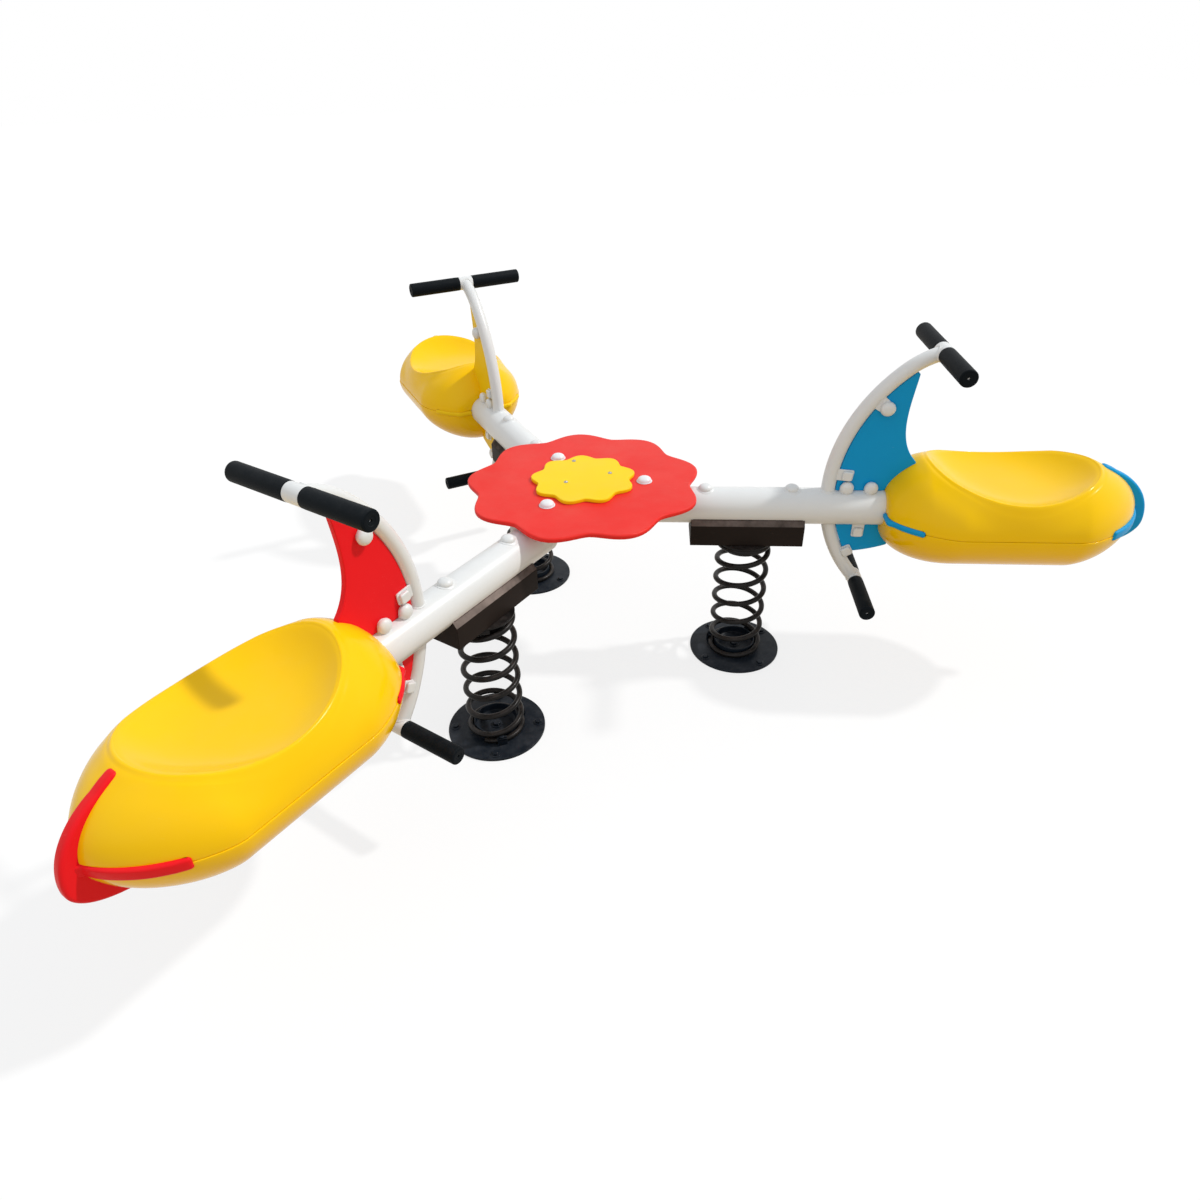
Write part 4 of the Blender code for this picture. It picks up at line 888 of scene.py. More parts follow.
class SEESAW_OT_beams(Operator):
    """Build the beams with their lugs, caps, washers and welds"""

    bl_idname = "seesaw.build_beams"
    bl_label = "Build Beams"

    def execute(self, context):
        edges = context.scene.seesaw_edges
        tube = Shape()
        inner = BEAM_RADIUS - BEAM_WALL
        wall = rounded([(BEAM_RADIUS, BEAM_INNER_END), (BEAM_RADIUS, BEAM_OUTER_END),
                        (inner, BEAM_OUTER_END), (inner, BEAM_INNER_END)], 0.001, 3)
        stations = np.linspace(BEAM_INNER_END + 0.01, BEAM_OUTER_END - 0.01, 12)
        start = max(index for index, spot in enumerate(wall)
                    if abs(spot[0] - BEAM_RADIUS) < 1e-6 and spot[1] < 0.5)
        wall = wall[:start + 1] + [(BEAM_RADIUS, out) for out in stations] + wall[start + 1:]
        tube.add(lathe(wall, FINE, closed=True), at(0.0, 0.0, BEAM_HEIGHT) @ turned_to((1, 0, 0)))
        bracket = BEAM_HEIGHT - 0.0093
        tube.add(box((BEAM_OUTER_END - 0.03, -0.055, bracket - 0.006),
                     (BEAM_OUTER_END + 0.27, 0.055, bracket)))
        for top in (True, False):
            tube.add(bead(bow_beam_joint(top), edges.weld, edges.weld_pitch))

        for out, reach, width, sign, blunt in BEAM_LUGS:
            place = (at(out, 0.0, BEAM_HEIGHT + sign * BEAM_RADIUS) @ STAND
                     @ Matrix.Diagonal((1.0, sign, 1.0, 1.0)))
            lug_pair(tube, place, width, reach, blunt, BEAM_CAP)
            for side in (-1.0, 1.0):
                line = side * (PANEL_THICKNESS / 2 + 0.006)
                height = math.sqrt(BEAM_RADIUS ** 2 - line ** 2)
                path = [(out + along, line + side * 0.0012,
                         BEAM_HEIGHT + sign * (height + 0.0003))
                        for along in np.linspace(-0.019, 0.019, 24)]
                tube.add(sweep(path, LUG_WELD, 8))
        show_on_arms(("beam_tube_{}", make_mesh("beam", tube), [tube_paint(), cap_plastic()],
                      "white_paint", "beam_{}"))

        for label, out in SADDLE_BOLTS:
            bolt = Shape()
            rings = []
            for radius, lift in WASHER_RINGS:
                for x, y in circle(radius, SMALL):
                    curve = math.sqrt(BEAM_RADIUS ** 2 - y * y)
                    rings.append((out + x, y, BEAM_HEIGHT + curve + lift + 0.0012))
            bolt.add((rings, strips(len(WASHER_RINGS), SMALL)))
            bolt.add(dome(edges.cap_radius, 0.0180), at(out, 0.0, BEAM_TOP - 0.0028))
            foot = at(out, 0.0, SADDLE_BOTTOM - GAP - BOLT_HEAD[1])
            bolt.add(hexagon(*BOLT_HEAD), foot, 1)
            bolt.add(bar(0.0058, 0.0, 0.160), foot, 1)
            show_on_arms((f"saddle_cap_bolt_{label}_{{}}", make_mesh("bolt", bolt),
                          [tube_paint(), black_paint()], "white_paint",
                          f"saddle_bolt_{label}_{{}}"))
        return {"FINISHED"}


# Bows, handlebars and grips

BAR_ENDS = (("handle", BOW_TOP_ANGLE, HANDLEBAR_LENGTH),
            ("foot", -BOW_BOTTOM_ANGLE, FOOT_BAR_LENGTH))
BAND_HALF = 0.0255

# Each pair of lugs on the bow: angle, reach, width, and whether blunt
BOW_LUGS = ((36.0, 0.043, 0.038, False), (6.0, 0.043, 0.036, True),
            (-28.5, 0.0245, 0.036, True))


def bar_joint(angle, radius):
    """Where the bow's skin meets the band round the cross bar at its end."""
    here, ahead = bow_axis(angle)
    away = -ahead if angle > 0 else ahead
    outward = np.array((ahead[1], -ahead[0]))
    ring = []
    for around in full_turn(64):
        side = TUBE_RADIUS * math.cos(around)
        back = math.sqrt(max(radius ** 2 - side ** 2, 0.0))
        flat = here + outward * side + away * back
        ring.append((flat[0], TUBE_RADIUS * math.sin(around), flat[1]))
    return ring


class SEESAW_OT_bows(Operator):
    """Build the bows with their cross bars, lugs, caps, welds and rubber grips"""

    bl_idname = "seesaw.build_bows"
    bl_label = "Build Bows"

    def execute(self, context):
        edges = context.scene.seesaw_edges
        bow = Shape()
        path = []
        for angle in np.linspace(-BOW_BOTTOM_ANGLE, BOW_TOP_ANGLE, 100):
            here, _ = bow_axis(angle)
            path.append((here[0], 0.0, here[1]))
        bow.add(sweep(path, TUBE_RADIUS, 40))
        for _, angle, reach in BAR_ENDS:
            here, _ = bow_axis(angle)
            place = at(here[0], 0.0, here[1]) @ turned_to((0, 1, 0))
            half = reach / 2 - 0.0066
            bow.add(bar(TUBE_RADIUS, -half, half, MEDIUM), place)
            band = rounded([(0.0, -BAND_HALF), (edges.collar, -BAND_HALF),
                            (edges.collar, BAND_HALF), (0.0, BAND_HALF)],
                           [0, 0.0012, 0.0012, 0], 3)
            bow.add(lathe(band, MEDIUM), place)
            bow.add(bead(bar_joint(angle, edges.collar), edges.weld, edges.weld_pitch))
        for angle, reach, width, blunt in BOW_LUGS:
            out, up = on_bow_circle(angle, BOW_RADIUS - TUBE_RADIUS)
            place = at(out, 0.0, up) @ turned(90.0 + angle, "Y") @ STAND
            lug_pair(bow, place, width, reach, blunt, BOW_CAP, 0.009)
        show_on_arms(("bow_tube_{}", make_mesh("bow", bow), [tube_paint(), cap_plastic()],
                      "white_paint", "bow_{}"))

        for kind, angle, reach in BAR_ENDS:
            here, _ = bow_axis(angle)
            start, end = 0.026, reach / 2
            profile = rounded(
                [(0.0213, start), (0.0236, start), (0.0240, start + 0.012), (0.0240, end),
                 (0.0115, end), (0.0100, end - 0.0014), (0.0038, end - 0.0014),
                 (0.0034, end - 0.006), (0.0213, end - 0.006)],
                [0.0003, 0.0010, 0.004, 0.0050, 0.0006, 0.0006, 0.0006, 0, 0], 5)
            grip = Shape().add(lathe(profile, MEDIUM, closed=True))
            grip.add(lathe([(0.0188, end - 0.0001), (0.0192, end + 0.00045),
                            (0.0182, end + 0.00045), (0.0178, end - 0.0001)], MEDIUM,
                           closed=True))
            mesh = make_mesh("grip", grip)
            for hand, side in (("left", 1), ("right", -1)):
                lay = at(here[0], 0.0, here[1]) @ turned_to((0, side, 0))
                show_on_arms((f"{kind}_rubber_{hand}_{{}}", mesh, [grip_rubber()],
                              "grip_rubber", f"{kind}_grip_{hand}_{{}}"), lay=lay)
        return {"FINISHED"}


# Seats

NOSE_LENGTH = 0.150
TAIL_LENGTH = 0.218
NOSE_EDGE = 0.005
SEAT_PLATE_THICKNESS = 0.018
BAND_THICKNESS = 2 * TAIL_SLOT_HALF + 0.0055
BAND_EDGE = 0.0070

# The rolled ridge round the dish: its height at the ends of the dish, what the sides add to it,
# what it loses towards the tail, and how far it runs out, as a share of the dish's reach
RIDGE_AT_ENDS = 0.0058
RIDGE_AT_SIDES = 0.0190
RIDGE_TAIL_LOSS = 0.0018
RIDGE_FADE = 0.20

# The fine groove outside it. Where it lies and its width are shares of the dish's reach
GROOVE_DEPTH = 0.0017
GROOVE_REACH = 1.060
GROOVE_WIDTH = 0.017

# How boxy the cross-section is above and below the parting plane. An ellipse has 2
UPPER_ROUNDNESS = 1.936
LOWER_ROUNDNESS = 1.905


def falloff(distance, reach, power):
    """One at distance 0, falling to nothing at the reach, on a rounded curve."""
    share = np.clip(distance / reach, 0.0, 1.0)
    return (1.0 - share ** power) ** (1.0 / power)


def seat_sizes(out):
    """Half width, crown and keel of the seat at a distance from the hub."""
    back = NOSE_LENGTH - (out - SEAT_NOSE)
    past = TAIL_LENGTH - (SEAT_TAIL - out)
    # Size at the nose, full size, powers of the curves, distance into the nose and its reach
    shapes = ((0.096, 0.2136, 1.467, 1.471, back + 0.040, 0.189),
              (0.064, 0.1591, 1.443, 1.879, back - 0.049, 0.101),
              (0.062, 0.1614, 1.965, 1.798, back + 0.012, 0.162))
    near = np.clip(1.0 - (out - SEAT_NOSE) / NOSE_EDGE, 0.0, 1.0)
    shrink = NOSE_EDGE * (1.0 - np.sqrt(1.0 - near ** 2))
    sizes = []
    for small, full, nose_power, tail_power, distance, reach in shapes:
        nose = falloff(distance, reach, nose_power)
        tail = falloff(past, TAIL_LENGTH, tail_power)
        sizes.append(np.maximum((small + (full - small) * nose) * tail - shrink, 1e-6))
    return sizes


def seat_width_at(out):
    """Half width of the seat at one distance from the hub."""
    return float(seat_sizes(np.array([out]))[0][0])


def half_form(out, upper):
    """Half width, height and roundness of one half of the seat."""
    width, crown, keel = seat_sizes(out)
    if upper:
        return width, crown, UPPER_ROUNDNESS
    return width + SEAM_STEP, keel, LOWER_ROUNDNESS


def form_height(out, side, upper):
    """Height of the seat's plain form above the parting plane, or depth below it."""
    width, height, roundness = half_form(out, upper)
    return height * falloff(np.abs(side), width, roundness)


def half_width_at(out, level, upper):
    """Half width of the seat's form at a height over the parting plane."""
    width, height, roundness = half_form(out, upper)
    return width * falloff(level, height, roundness)


def dish_reach(out, side):
    """Distance from the dish's centre as a share of its rim, and the share along the arm."""
    along = (out - DISH_CENTRE) / DISH_HALF_LENGTH
    across = side / DISH_HALF_WIDTH
    reach = np.maximum(np.hypot(along, across), 1e-6)
    return reach, along / reach


def rim_ridge(out, side):
    """Height of the rolled ridge round the dish, with a fine groove outside it."""
    reach, along = dish_reach(out, side)
    fade = np.clip((reach - 1.0) / RIDGE_FADE, 0.0, 1.0)
    groove = GROOVE_DEPTH * np.exp(-((reach - GROOVE_REACH) / GROOVE_WIDTH) ** 2)
    rise = (RIDGE_AT_ENDS + RIDGE_AT_SIDES * (1.0 - along ** 2) ** 2.8
            - RIDGE_TAIL_LOSS * np.clip(along, 0.0, 1.0))
    return rise * (1.0 - fade * fade * (3.0 - 2.0 * fade)) - groove


def dish_height(out, side, depth):
    """Height of the bowl above the parting plane, from its floor up to its rim and past it."""
    reach, _ = dish_reach(out, side)
    rim_out, rim_side = DISH_CENTRE + (out - DISH_CENTRE) / reach, side / reach
    rim = form_height(rim_out, rim_side, True) + rim_ridge(rim_out, rim_side)
    floor = DISH_DATUM - depth
    bowl = floor + (rim - floor) * np.minimum(reach, 1.0) ** 3.6
    return bowl + np.clip(reach - 1.0, 0.0, None) * 0.60


def edge_level(out):
    """Height of the shell's edge over the parting plane, which rises over the slots."""
    level = np.full(np.shape(out), GAP)
    for inside, half in ((FRONT_SLOT_END - out, FRONT_SLOT_HALF),
                         (out - TAIL_SLOT_START, TAIL_SLOT_HALF)):
        share = np.clip(inside / half, 0.0, 1.0)
        level = np.maximum(level, half * np.sqrt(1.0 - (1.0 - share) ** 2))
    return level


def bisect(test, low, high, rounds=46):
    """Where a test that holds at low stops holding, for many rays at once."""
    for _ in range(rounds):
        middle = (low + high) / 2
        holds = test(middle)
        low = np.where(holds, middle, low)
        high = np.where(holds, high, middle)
    return (low + high) / 2


def ray_angles(upper, count):
    """Directions from the dish's centre: even ones, and ones at the slots' ends and the nose.

    The angle of the nose's corner comes with them.
    """
    angles = list(np.linspace(-math.pi, math.pi, count, endpoint=False))
    marks = []
    for share in np.linspace(0.0, 1.0, 9):
        curve = 1.0 - math.cos(share * math.pi / 2)
        marks.append(FRONT_SLOT_END - FRONT_SLOT_HALF * curve)
        marks.append(TAIL_SLOT_START + TAIL_SLOT_HALF * curve)
    marks = np.array(marks)
    widths = half_width_at(marks, edge_level(marks), upper)
    for sign in (-1.0, 1.0):
        angles += list(np.arctan2(sign * widths, marks - DISH_CENTRE))
    width = float(half_width_at(np.array([SEAT_NOSE]), FRONT_SLOT_HALF, upper)[0])
    corner = math.atan2(width, SEAT_NOSE - DISH_CENTRE)
    kept = []
    for angle in sorted(angles):
        if abs(abs(angle) - corner) >= 0.006 and (not kept or angle - kept[-1] > 0.0022):
            kept.append(angle)
    return np.array(sorted(kept + [-corner, corner])), corner


def ring_reaches(upper, depth, spot, count):
    """How far each of the mesh's rings lies out on each ray, from the middle to the rim."""
    def inside(reach):
        out, side = spot(reach)
        return (form_height(out, side, upper) > edge_level(out)) & (out > SEAT_NOSE)

    def in_dish(reach):
        out, side = spot(reach)
        form = form_height(out, side, True) + rim_ridge(out, side)
        return (dish_height(out, side, depth) < form) | (dish_reach(out, side)[0] < 0.9)

    rim = bisect(inside, np.zeros(count), np.full(count, 0.60))
    rings = []
    last, steps = np.zeros(count), 44
    if upper:
        lip = bisect(in_dish, np.full(count, 0.02), rim)
        for share in (0.08, 0.20, 0.33, 0.46, 0.58, 0.69, 0.78, 0.85, 0.905, 0.94):
            rings.append(lip * share)
        inner = np.minimum(0.020, lip * 0.055)
        outer = np.minimum(0.020, (rim - lip) * 0.45)
        for step in np.linspace(-1.0, 1.0, 19):
            bent = math.copysign(abs(step) ** 1.5, step)
            rings.append(lip + bent * (outer if step > 0 else inner))
        last, steps = rings[-1], 30
    for share in np.linspace(0.0, 1.0, steps + 1)[1:]:
        rings.append(last + (rim - last) * (1.0 - (1.0 - share) ** 1.8))
    return rings


def skin_height(out, side, upper, settings):
    """Height of the skin over the parting plane, with the dish's softened lip."""
    height = form_height(out, side, upper)
    if not upper:
        return height
    dish = dish_height(out, side, settings.depth)
    height = height + rim_ridge(out, side)
    along = dish_reach(out, side)[1]
    soft = settings.lip * (1.0 + np.where(along > 0, 1.8, 1.6) * along ** 2)
    blend = np.clip(soft - np.abs(height - dish), 0.0, None) / soft
    return np.minimum(height, dish) - blend ** 2 * soft / 4


def seat_half(upper, settings):
    """The outer skin of one half of the seat, as an open mesh of rays and rings."""
    angles, corner = ray_angles(upper, settings.rays)
    cosines, sines = np.cos(angles), np.sin(angles)
    count = len(angles)

    def spot(reach):
        return DISH_CENTRE + reach * cosines, reach * sines

    points = []
    for reach in ring_reaches(upper, settings.depth, spot, count):
        out, side = spot(reach)
        out = np.maximum(out, SEAT_NOSE)
        points.append(np.stack([out, side, skin_height(out, side, upper, settings)], axis=1))
    rim = points[-1]
    rim[:, 2] = np.where(rim[:, 0] < SEAT_NOSE + 1e-6, rim[:, 2], edge_level(rim[:, 0]))

    # The flat nose runs from the rim in to the beam's hole
    on_nose = np.abs(angles) >= corner - 1e-9
    turn = np.arctan2(rim[:, 2], rim[:, 1])
    low_turn = float(turn[on_nose].min())
    mouth = BEAM_RADIUS + GAP
    low_mouth = math.asin(FRONT_SLOT_HALF / mouth)
    share = (turn - low_turn) / (math.pi - 2 * low_turn)
    target = low_mouth + share * (math.pi - 2 * low_mouth)
    hole = np.stack([np.full(count, SEAT_NOSE), mouth * np.cos(target), mouth * np.sin(target)],
                    axis=1)
    skin_rings = len(points)
    points += [rim + (hole - rim) * step for step in (0.12, 0.45, 0.88, 1.0)]

    faces = []
    for ring in range(len(points) - 1):
        for index in range(count):
            after = (index + 1) % count
            if ring >= skin_rings - 1 and not (on_nose[index] and on_nose[after]):
                continue
            low, high = ring * count, (ring + 1) * count
            faces.append((low + index, high + index, high + after, low + after))
    centre = DISH_DATUM - settings.depth if upper else float(
        form_height(np.array([DISH_CENTRE]), np.array([0.0]), False)[0])
    everything = np.vstack(points + [[[DISH_CENTRE, 0.0, centre]]])
    everything[:, 2] = BEAM_HEIGHT + (1.0 if upper else -1.0) * everything[:, 2]
    for index in range(count):
        faces.append((len(everything) - 1, index, (index + 1) % count))
    if not upper:
        faces = [tuple(reversed(face)) for face in faces]
    return everything, faces


def seat_mesh(name, upper, settings):
    """One half of the seat as a closed shell with rounded edges."""
    points, faces = seat_half(upper, settings)
    mesh = bpy.data.meshes.new(name)
    mesh.from_pydata(points.tolist(), [], faces)
    bm = bmesh.new()
    bm.from_mesh(mesh)
    loose = [vertex for vertex in bm.verts if not vertex.link_faces]
    bmesh.ops.delete(bm, geom=loose, context="VERTS")
    bmesh.ops.remove_doubles(bm, verts=bm.verts, dist=0.00001)
    bm.to_mesh(mesh)
    bm.free()
    blank = bpy.data.objects.new(name, mesh)
    bpy.context.scene.collection.objects.link(blank)
    solid = blank.modifiers.new("wall", "SOLIDIFY")
    solid.thickness = settings.wall
    solid.offset = -1.0
    solid.use_even_offset = True
    edge = blank.modifiers.new("edge", "BEVEL")
    edge.width = settings.seam
    edge.segments = 3
    edge.limit_method = "ANGLE"
    edge.angle_limit = math.radians(55.0)
    edge.use_clamp_overlap = False
    result = frozen(blank, name)
    result.shade_smooth()
    result.set_sharp_from_angle(angle=math.radians(48.0))
    return result


# Middle of the tail fin, and how far its inner and outer curves reach from it
FIN_OUT = 1.500
FIN_UP = 0.525
FIN_REACH = SEAT_TAIL + 0.0395 - FIN_OUT
FIN_RISE = 0.176
FIN_DROP = 0.100
FIN_INNER_REACH = 0.130
FIN_INNER_RISE = 0.120
FIN_INNER_DROP = 0.040


def fin_curve(start, end, count, reach, rise, drop):
    """Points of one of the fin's curves, with the angle of each."""
    points = []
    for angle in np.linspace(start, end, count):
        turn = math.radians(angle)
        span = rise if angle > 0 else drop
        points.append((angle, (FIN_OUT + reach * math.cos(turn), FIN_UP + span * math.sin(turn))))
    return points


def fin_outline():
    """The tail fin's outline in X and Z. Its tip lies low on the seat's crown."""
    outer = []
    for out in [1.532] + list(np.linspace(1.562, 1.598, 10)):
        crown = float(seat_sizes(np.array([out]))[1][0])
        arc = FIN_UP + FIN_RISE * math.sqrt(1.0 - ((out - FIN_OUT) / FIN_REACH) ** 2)
        outer.append((out, max(arc, BEAM_HEIGHT + crown + 0.0082)))
    outer += [spot for angle, spot in fin_curve(80.0, -64.0, 60, FIN_REACH, FIN_RISE, FIN_DROP)
              if spot[0] > 1.601 or angle < 0]
    inner = [spot for _, spot in fin_curve(-58.0, 40.0, 20, FIN_INNER_REACH, FIN_INNER_RISE,
                                           FIN_INNER_DROP)]
    outline = outer + inner + [(1.5318, 0.602)]
    radii = [0.0] * len(outline)
    radii[0] = 0.0135
    radii[len(outer) - 1] = 0.012
    return rounded(outline, radii, 5)


def mirrored(side):
    """A line from front to back on one side, and back again on the other."""
    return side + [(out, -across) for out, across in reversed(side)]


def seat_plate_outline():
    """Outline of the coloured plate between the seat's halves, seen from above."""
    proud, recess = 0.0075, 0.014
    front, back = SEAT_NOSE - proud, SEAT_TAIL - 0.090
    slot_end = FRONT_SLOT_END - 0.004
    side = [(BEAM_OUTER_END, BEAM_RADIUS + GAP), (front, BEAM_RADIUS + GAP),
            (front, seat_width_at(SEAT_NOSE + 0.006) + proud - 0.004)]
    for out in np.linspace(SEAT_NOSE + 0.010, slot_end, 12):
        side.append((out, seat_width_at(out) + proud))
    slot_corner = len(side) - 1
    for out in np.linspace(FRONT_SLOT_END + 0.004, TAIL_SLOT_START, 24):
        side.append((out, seat_width_at(out) - recess))
    side.append((back, seat_width_at(back) - recess))
    side.append((back, FIN_THICKNESS / 2 + GAP))
    corners = [0.0] * len(side)
    corners[:3] = 0.002, 0.004, 0.016
    corners[slot_corner] = 0.006
    return rounded(mirrored(side), corners + corners[::-1], 5)


def tail_band_outline():
    """Outline of the thicker band that fills the slot round the seat's tail."""
    start = TAIL_SLOT_START - 0.010
    side = []
    for share in [0.0] + list(np.linspace(0.13, 1.0, 32)):
        out = start + (SEAT_TAIL - start) * (1.0 - (1.0 - share) ** 1.9)
        proud = 0.0085 + 0.0045 * min((out - start) / 0.070, 1.0)
        across = seat_width_at(out) + proud
        if across > FIN_THICKNESS / 2 + 0.006:
            side.append((out, across))
    inner = [(out, across - 0.040) for out, across in side
             if across > 0.080 and out < SEAT_TAIL - 0.050]
    outer = mirrored(side + [(SEAT_TAIL + 0.0125, FIN_THICKNESS / 2 - 0.004)])
    back = mirrored(inner + [(SEAT_TAIL - 0.045, 0.020)])
    back = [(out, across) for out, across in reversed(back)]
    corners = [0.0] * len(outer + back)
    corners[0] = corners[len(outer) - 1] = 0.013
    return rounded(outer + back, corners, 6)


class SEESAW_OT_seats(Operator):
    """Build the moulded seats with their dishes, their plates and their tail fins"""

    bl_idname = "seesaw.build_seats"
    bl_label = "Build Seats"

    def execute(self, context):
        edges = context.scene.seesaw_edges
        settings = context.scene.seesaw_seat
        level = at(0.0, 0.0, BEAM_HEIGHT)
        shelf = Shape()
        shelf.add(plate(seat_plate_outline(), SEAT_PLATE_THICKNESS, edges.plate_edge, 5, 0.0005),
                  level)
        shelf.add(plate(tail_band_outline(), BAND_THICKNESS, BAND_EDGE, 6, 0.0005), level)
        fin = Shape().add(plate(fin_outline(), FIN_THICKNESS, edges.fin_edge, 6, 0.001), STAND)
        show_on_arms(
            ("seat_upper_shell_{}", seat_mesh("seat_top_shell", True, settings),
             [seat_plastic()], "seat_yellow", "seat_top_{}"),
            ("seat_lower_shell_{}", seat_mesh("seat_bottom_shell", False, settings),
             [seat_plastic()], "seat_yellow", "seat_bottom_{}"),
            ("seat_edge_plate_{}", make_mesh("seat_shelf", shelf), panel_sheet, "panel_{}",
             "seat_plate_{}"),
            ("seat_tail_fin_{}", make_mesh("fin", fin), panel_sheet, "panel_{}",
             "tail_fin_{}"))
        return {"FINISHED"}


# Side panels

def through(points, count):
    """Points on a smooth curve through a few given points."""
    points = np.array(points, float)
    runs = np.concatenate([[0.0], np.cumsum(np.linalg.norm(np.diff(points, axis=0), axis=1))])
    spots = np.linspace(0.0, runs[-1], count)
    order = len(points) - 1
    fits = [np.polyfit(runs, points[:, axis], order) for axis in (0, 1)]
    return [(float(np.polyval(fits[0], s)), float(np.polyval(fits[1], s))) for s in spots]


# Where the panels end beside the bow tube
PANEL_ARC = BOW_RADIUS - TUBE_RADIUS - 0.0006
PANEL_CORNER = 0.004


def bow_side(start, end, count):
    """Points along the panels' edge beside the bow."""
    return [on_bow_circle(angle, PANEL_ARC) for angle in np.linspace(start, end, count)]


def angle_at(height):
    """The bow's angle at which that edge reaches a height."""
    return math.degrees(math.asin((height - BOW_CENTRE[1]) / PANEL_ARC))


def seat_edge(crown, first, last, count):
    """Points along the middle of the seat's nose, above or below."""
    points = []
    for out in np.linspace(first, last, count):
        _, rise, drop = seat_sizes(np.array([out]))
        height = float(rise[0]) - 0.001 if crown else 0.001 - float(drop[0])
        points.append((float(out) + 0.001, BEAM_HEIGHT + height))
    return points


def cornered(outline, corners):
    """An outline with the corners at some of its points rounded."""
    radii = [PANEL_CORNER if index in corners else 0.0 for index in range(len(outline))]
    return rounded(outline, radii, 4)


def panel_outlines():
    """Outlines in X and Z of the panel above the beam and of the one below it."""
    bottom = BEAM_TOP + GAP
    bow = bow_side(angle_at(bottom), 51.0, 44)
    tip = (bow[-1][0] + 0.010, bow[-1][1] - 0.002)
    rear = through([tip, (0.949, 0.846), (0.959, 0.778), (0.996, 0.716)], 26)
    nose = seat_edge(True, 0.998, SEAT_NOSE + 0.002, 16)
    upper = bow + rear + [(0.999, 0.712)] + nose + [(SEAT_NOSE - 0.003, bottom)]
    upper = cornered(upper, (0, len(bow) - 1, len(bow), len(bow) + len(rear) - 1,
                             len(upper) - 1))

    top = BEAM_HEIGHT - BEAM_RADIUS - GAP
    bow = bow_side(angle_at(0.400), angle_at(top), 20)
    back = [(SEAT_NOSE - 0.003, top)] + seat_edge(False, SEAT_NOSE, 0.962, 12) + [(0.962, 0.430)]
    under = through([(0.958, 0.426), (0.916, 0.413), bow[0]], 12)
    lower = cornered(bow + back + under[:-1], (0, len(bow) - 1, len(bow),
                                               len(bow) + len(back) - 1, len(bow) + len(back)))
    return upper, lower


class SEESAW_OT_panels(Operator):
    """Build the coloured side panels between each bow and its seat"""

    bl_idname = "seesaw.build_panels"
    bl_label = "Build Panels"

    def execute(self, context):
        edge = context.scene.seesaw_edges.panel_edge
        for label, outline in zip(("upper", "lower"), panel_outlines()):
            shape = Shape().add(plate(outline, PANEL_THICKNESS, edge, 4, 0.0008), STAND)
            show_on_arms((f"side_panel_{label}_{{}}", make_mesh("panel", shape), panel_sheet,
                          "panel_{}", f"panel_{label}_{{}}"))
        return {"FINISHED"}


# Saddles, springs and bases

SADDLE_HALF = 0.0645
CUP_PLATE_RADIUS = 0.0888
CUP_PLATE_THICKNESS = 0.006
CUP_HEIGHT = 0.030
CUP_WELD_RADIUS = 0.0700
GROUND_PLATE_RADIUS = 0.152
GROUND_PLATE_THICKNESS = 0.008
GROUND_BOLT_RADIUS = 0.130
GROUND_BOLT_TURN = 37.5
# Where the clamps hold the wire, in turns, and the height on which the wire rests
CLAMP_TURNS = (0.14, 0.44)
WIRE_REST = 0.0086


def cup_form(plate_radius, thickness, floor_lift, radius=0.0690, wall=0.0045):
    """A round plate with a shallow cup on it that centres the coil, standing on Z = 0."""
    inner, floor, rim = radius - wall, thickness + floor_lift, thickness + CUP_HEIGHT
    profile = rounded(
        [(0.0, floor), (inner - 0.012, floor), (inner, floor + 0.006),
         (inner, rim), (radius, rim), (radius, thickness),
         (plate_radius, thickness), (plate_radius, 0.0), (0.0, 0.0)],
        [0, 0.008, 0.004, 0.0018, 0.0018, 0.003, 0.0022, 0.0008, 0], 5, closed=False)
    return lathe(profile, FINE)


class SEESAW_OT_saddles(Operator):
    """Build the saddles under the beams and the spring cups below them"""

    bl_idname = "seesaw.build_saddles"
    bl_label = "Build Saddles"

    def execute(self, context):
        side = [(0.0507, 0.5330), (0.0520, 0.5325), (SADDLE_HALF - 0.0006, 0.5165),
                (SADDLE_HALF, 0.5120), (SADDLE_HALF, SADDLE_BOTTOM)]
        outer = side + [(-across, up) for across, up in reversed(side)]
        section = hugging(outer, BEAM_RADIUS + GAP, 207.0, 333.0, 28)
        saddle = Shape().add(plate(section, SADDLE_LENGTH, 0.0016, 3, 0.0008),
                             at(SADDLE_CENTRE, 0.0, 0.0) @ ALONG_X)
        cup = Shape()
        down = at(SADDLE_CENTRE, 0.0, SADDLE_BOTTOM - GAP) @ UPSIDE_DOWN
        cup.add(cup_form(CUP_PLATE_RADIUS, CUP_PLATE_THICKNESS, 0.002), down)
        for sign in (-1.0, 1.0):
            line = [(SADDLE_CENTRE + out, sign * 0.0514, 0.5340)
                    for out in np.linspace(-0.168, 0.168, 60)]
            saddle.add(sweep(line, 0.0016, 8))
            bolt = down @ at(0.0, sign * 0.030, 0.0078)
            cup.add(hexagon(0.0120, 0.009), bolt)
            cup.add(bar(0.016, 0.0, 0.0022, SMALL), down @ at(0.0, sign * 0.030, 0.0070))
            cup.add(lathe([(0.0, 0.0), (0.0058, 0.0), (0.0054, 0.016), (0.0, 0.017)], 20), bolt)
        show_on_arms(("saddle_channel_{}", make_mesh("saddle", saddle), [saddle_paint()],
                      "black_steel", "saddle_{}"),
                     ("spring_top_cup_{}", make_mesh("cup", cup), [black_paint()],
                      "black_steel", "spring_cup_{}"))
        return {"FINISHED"}


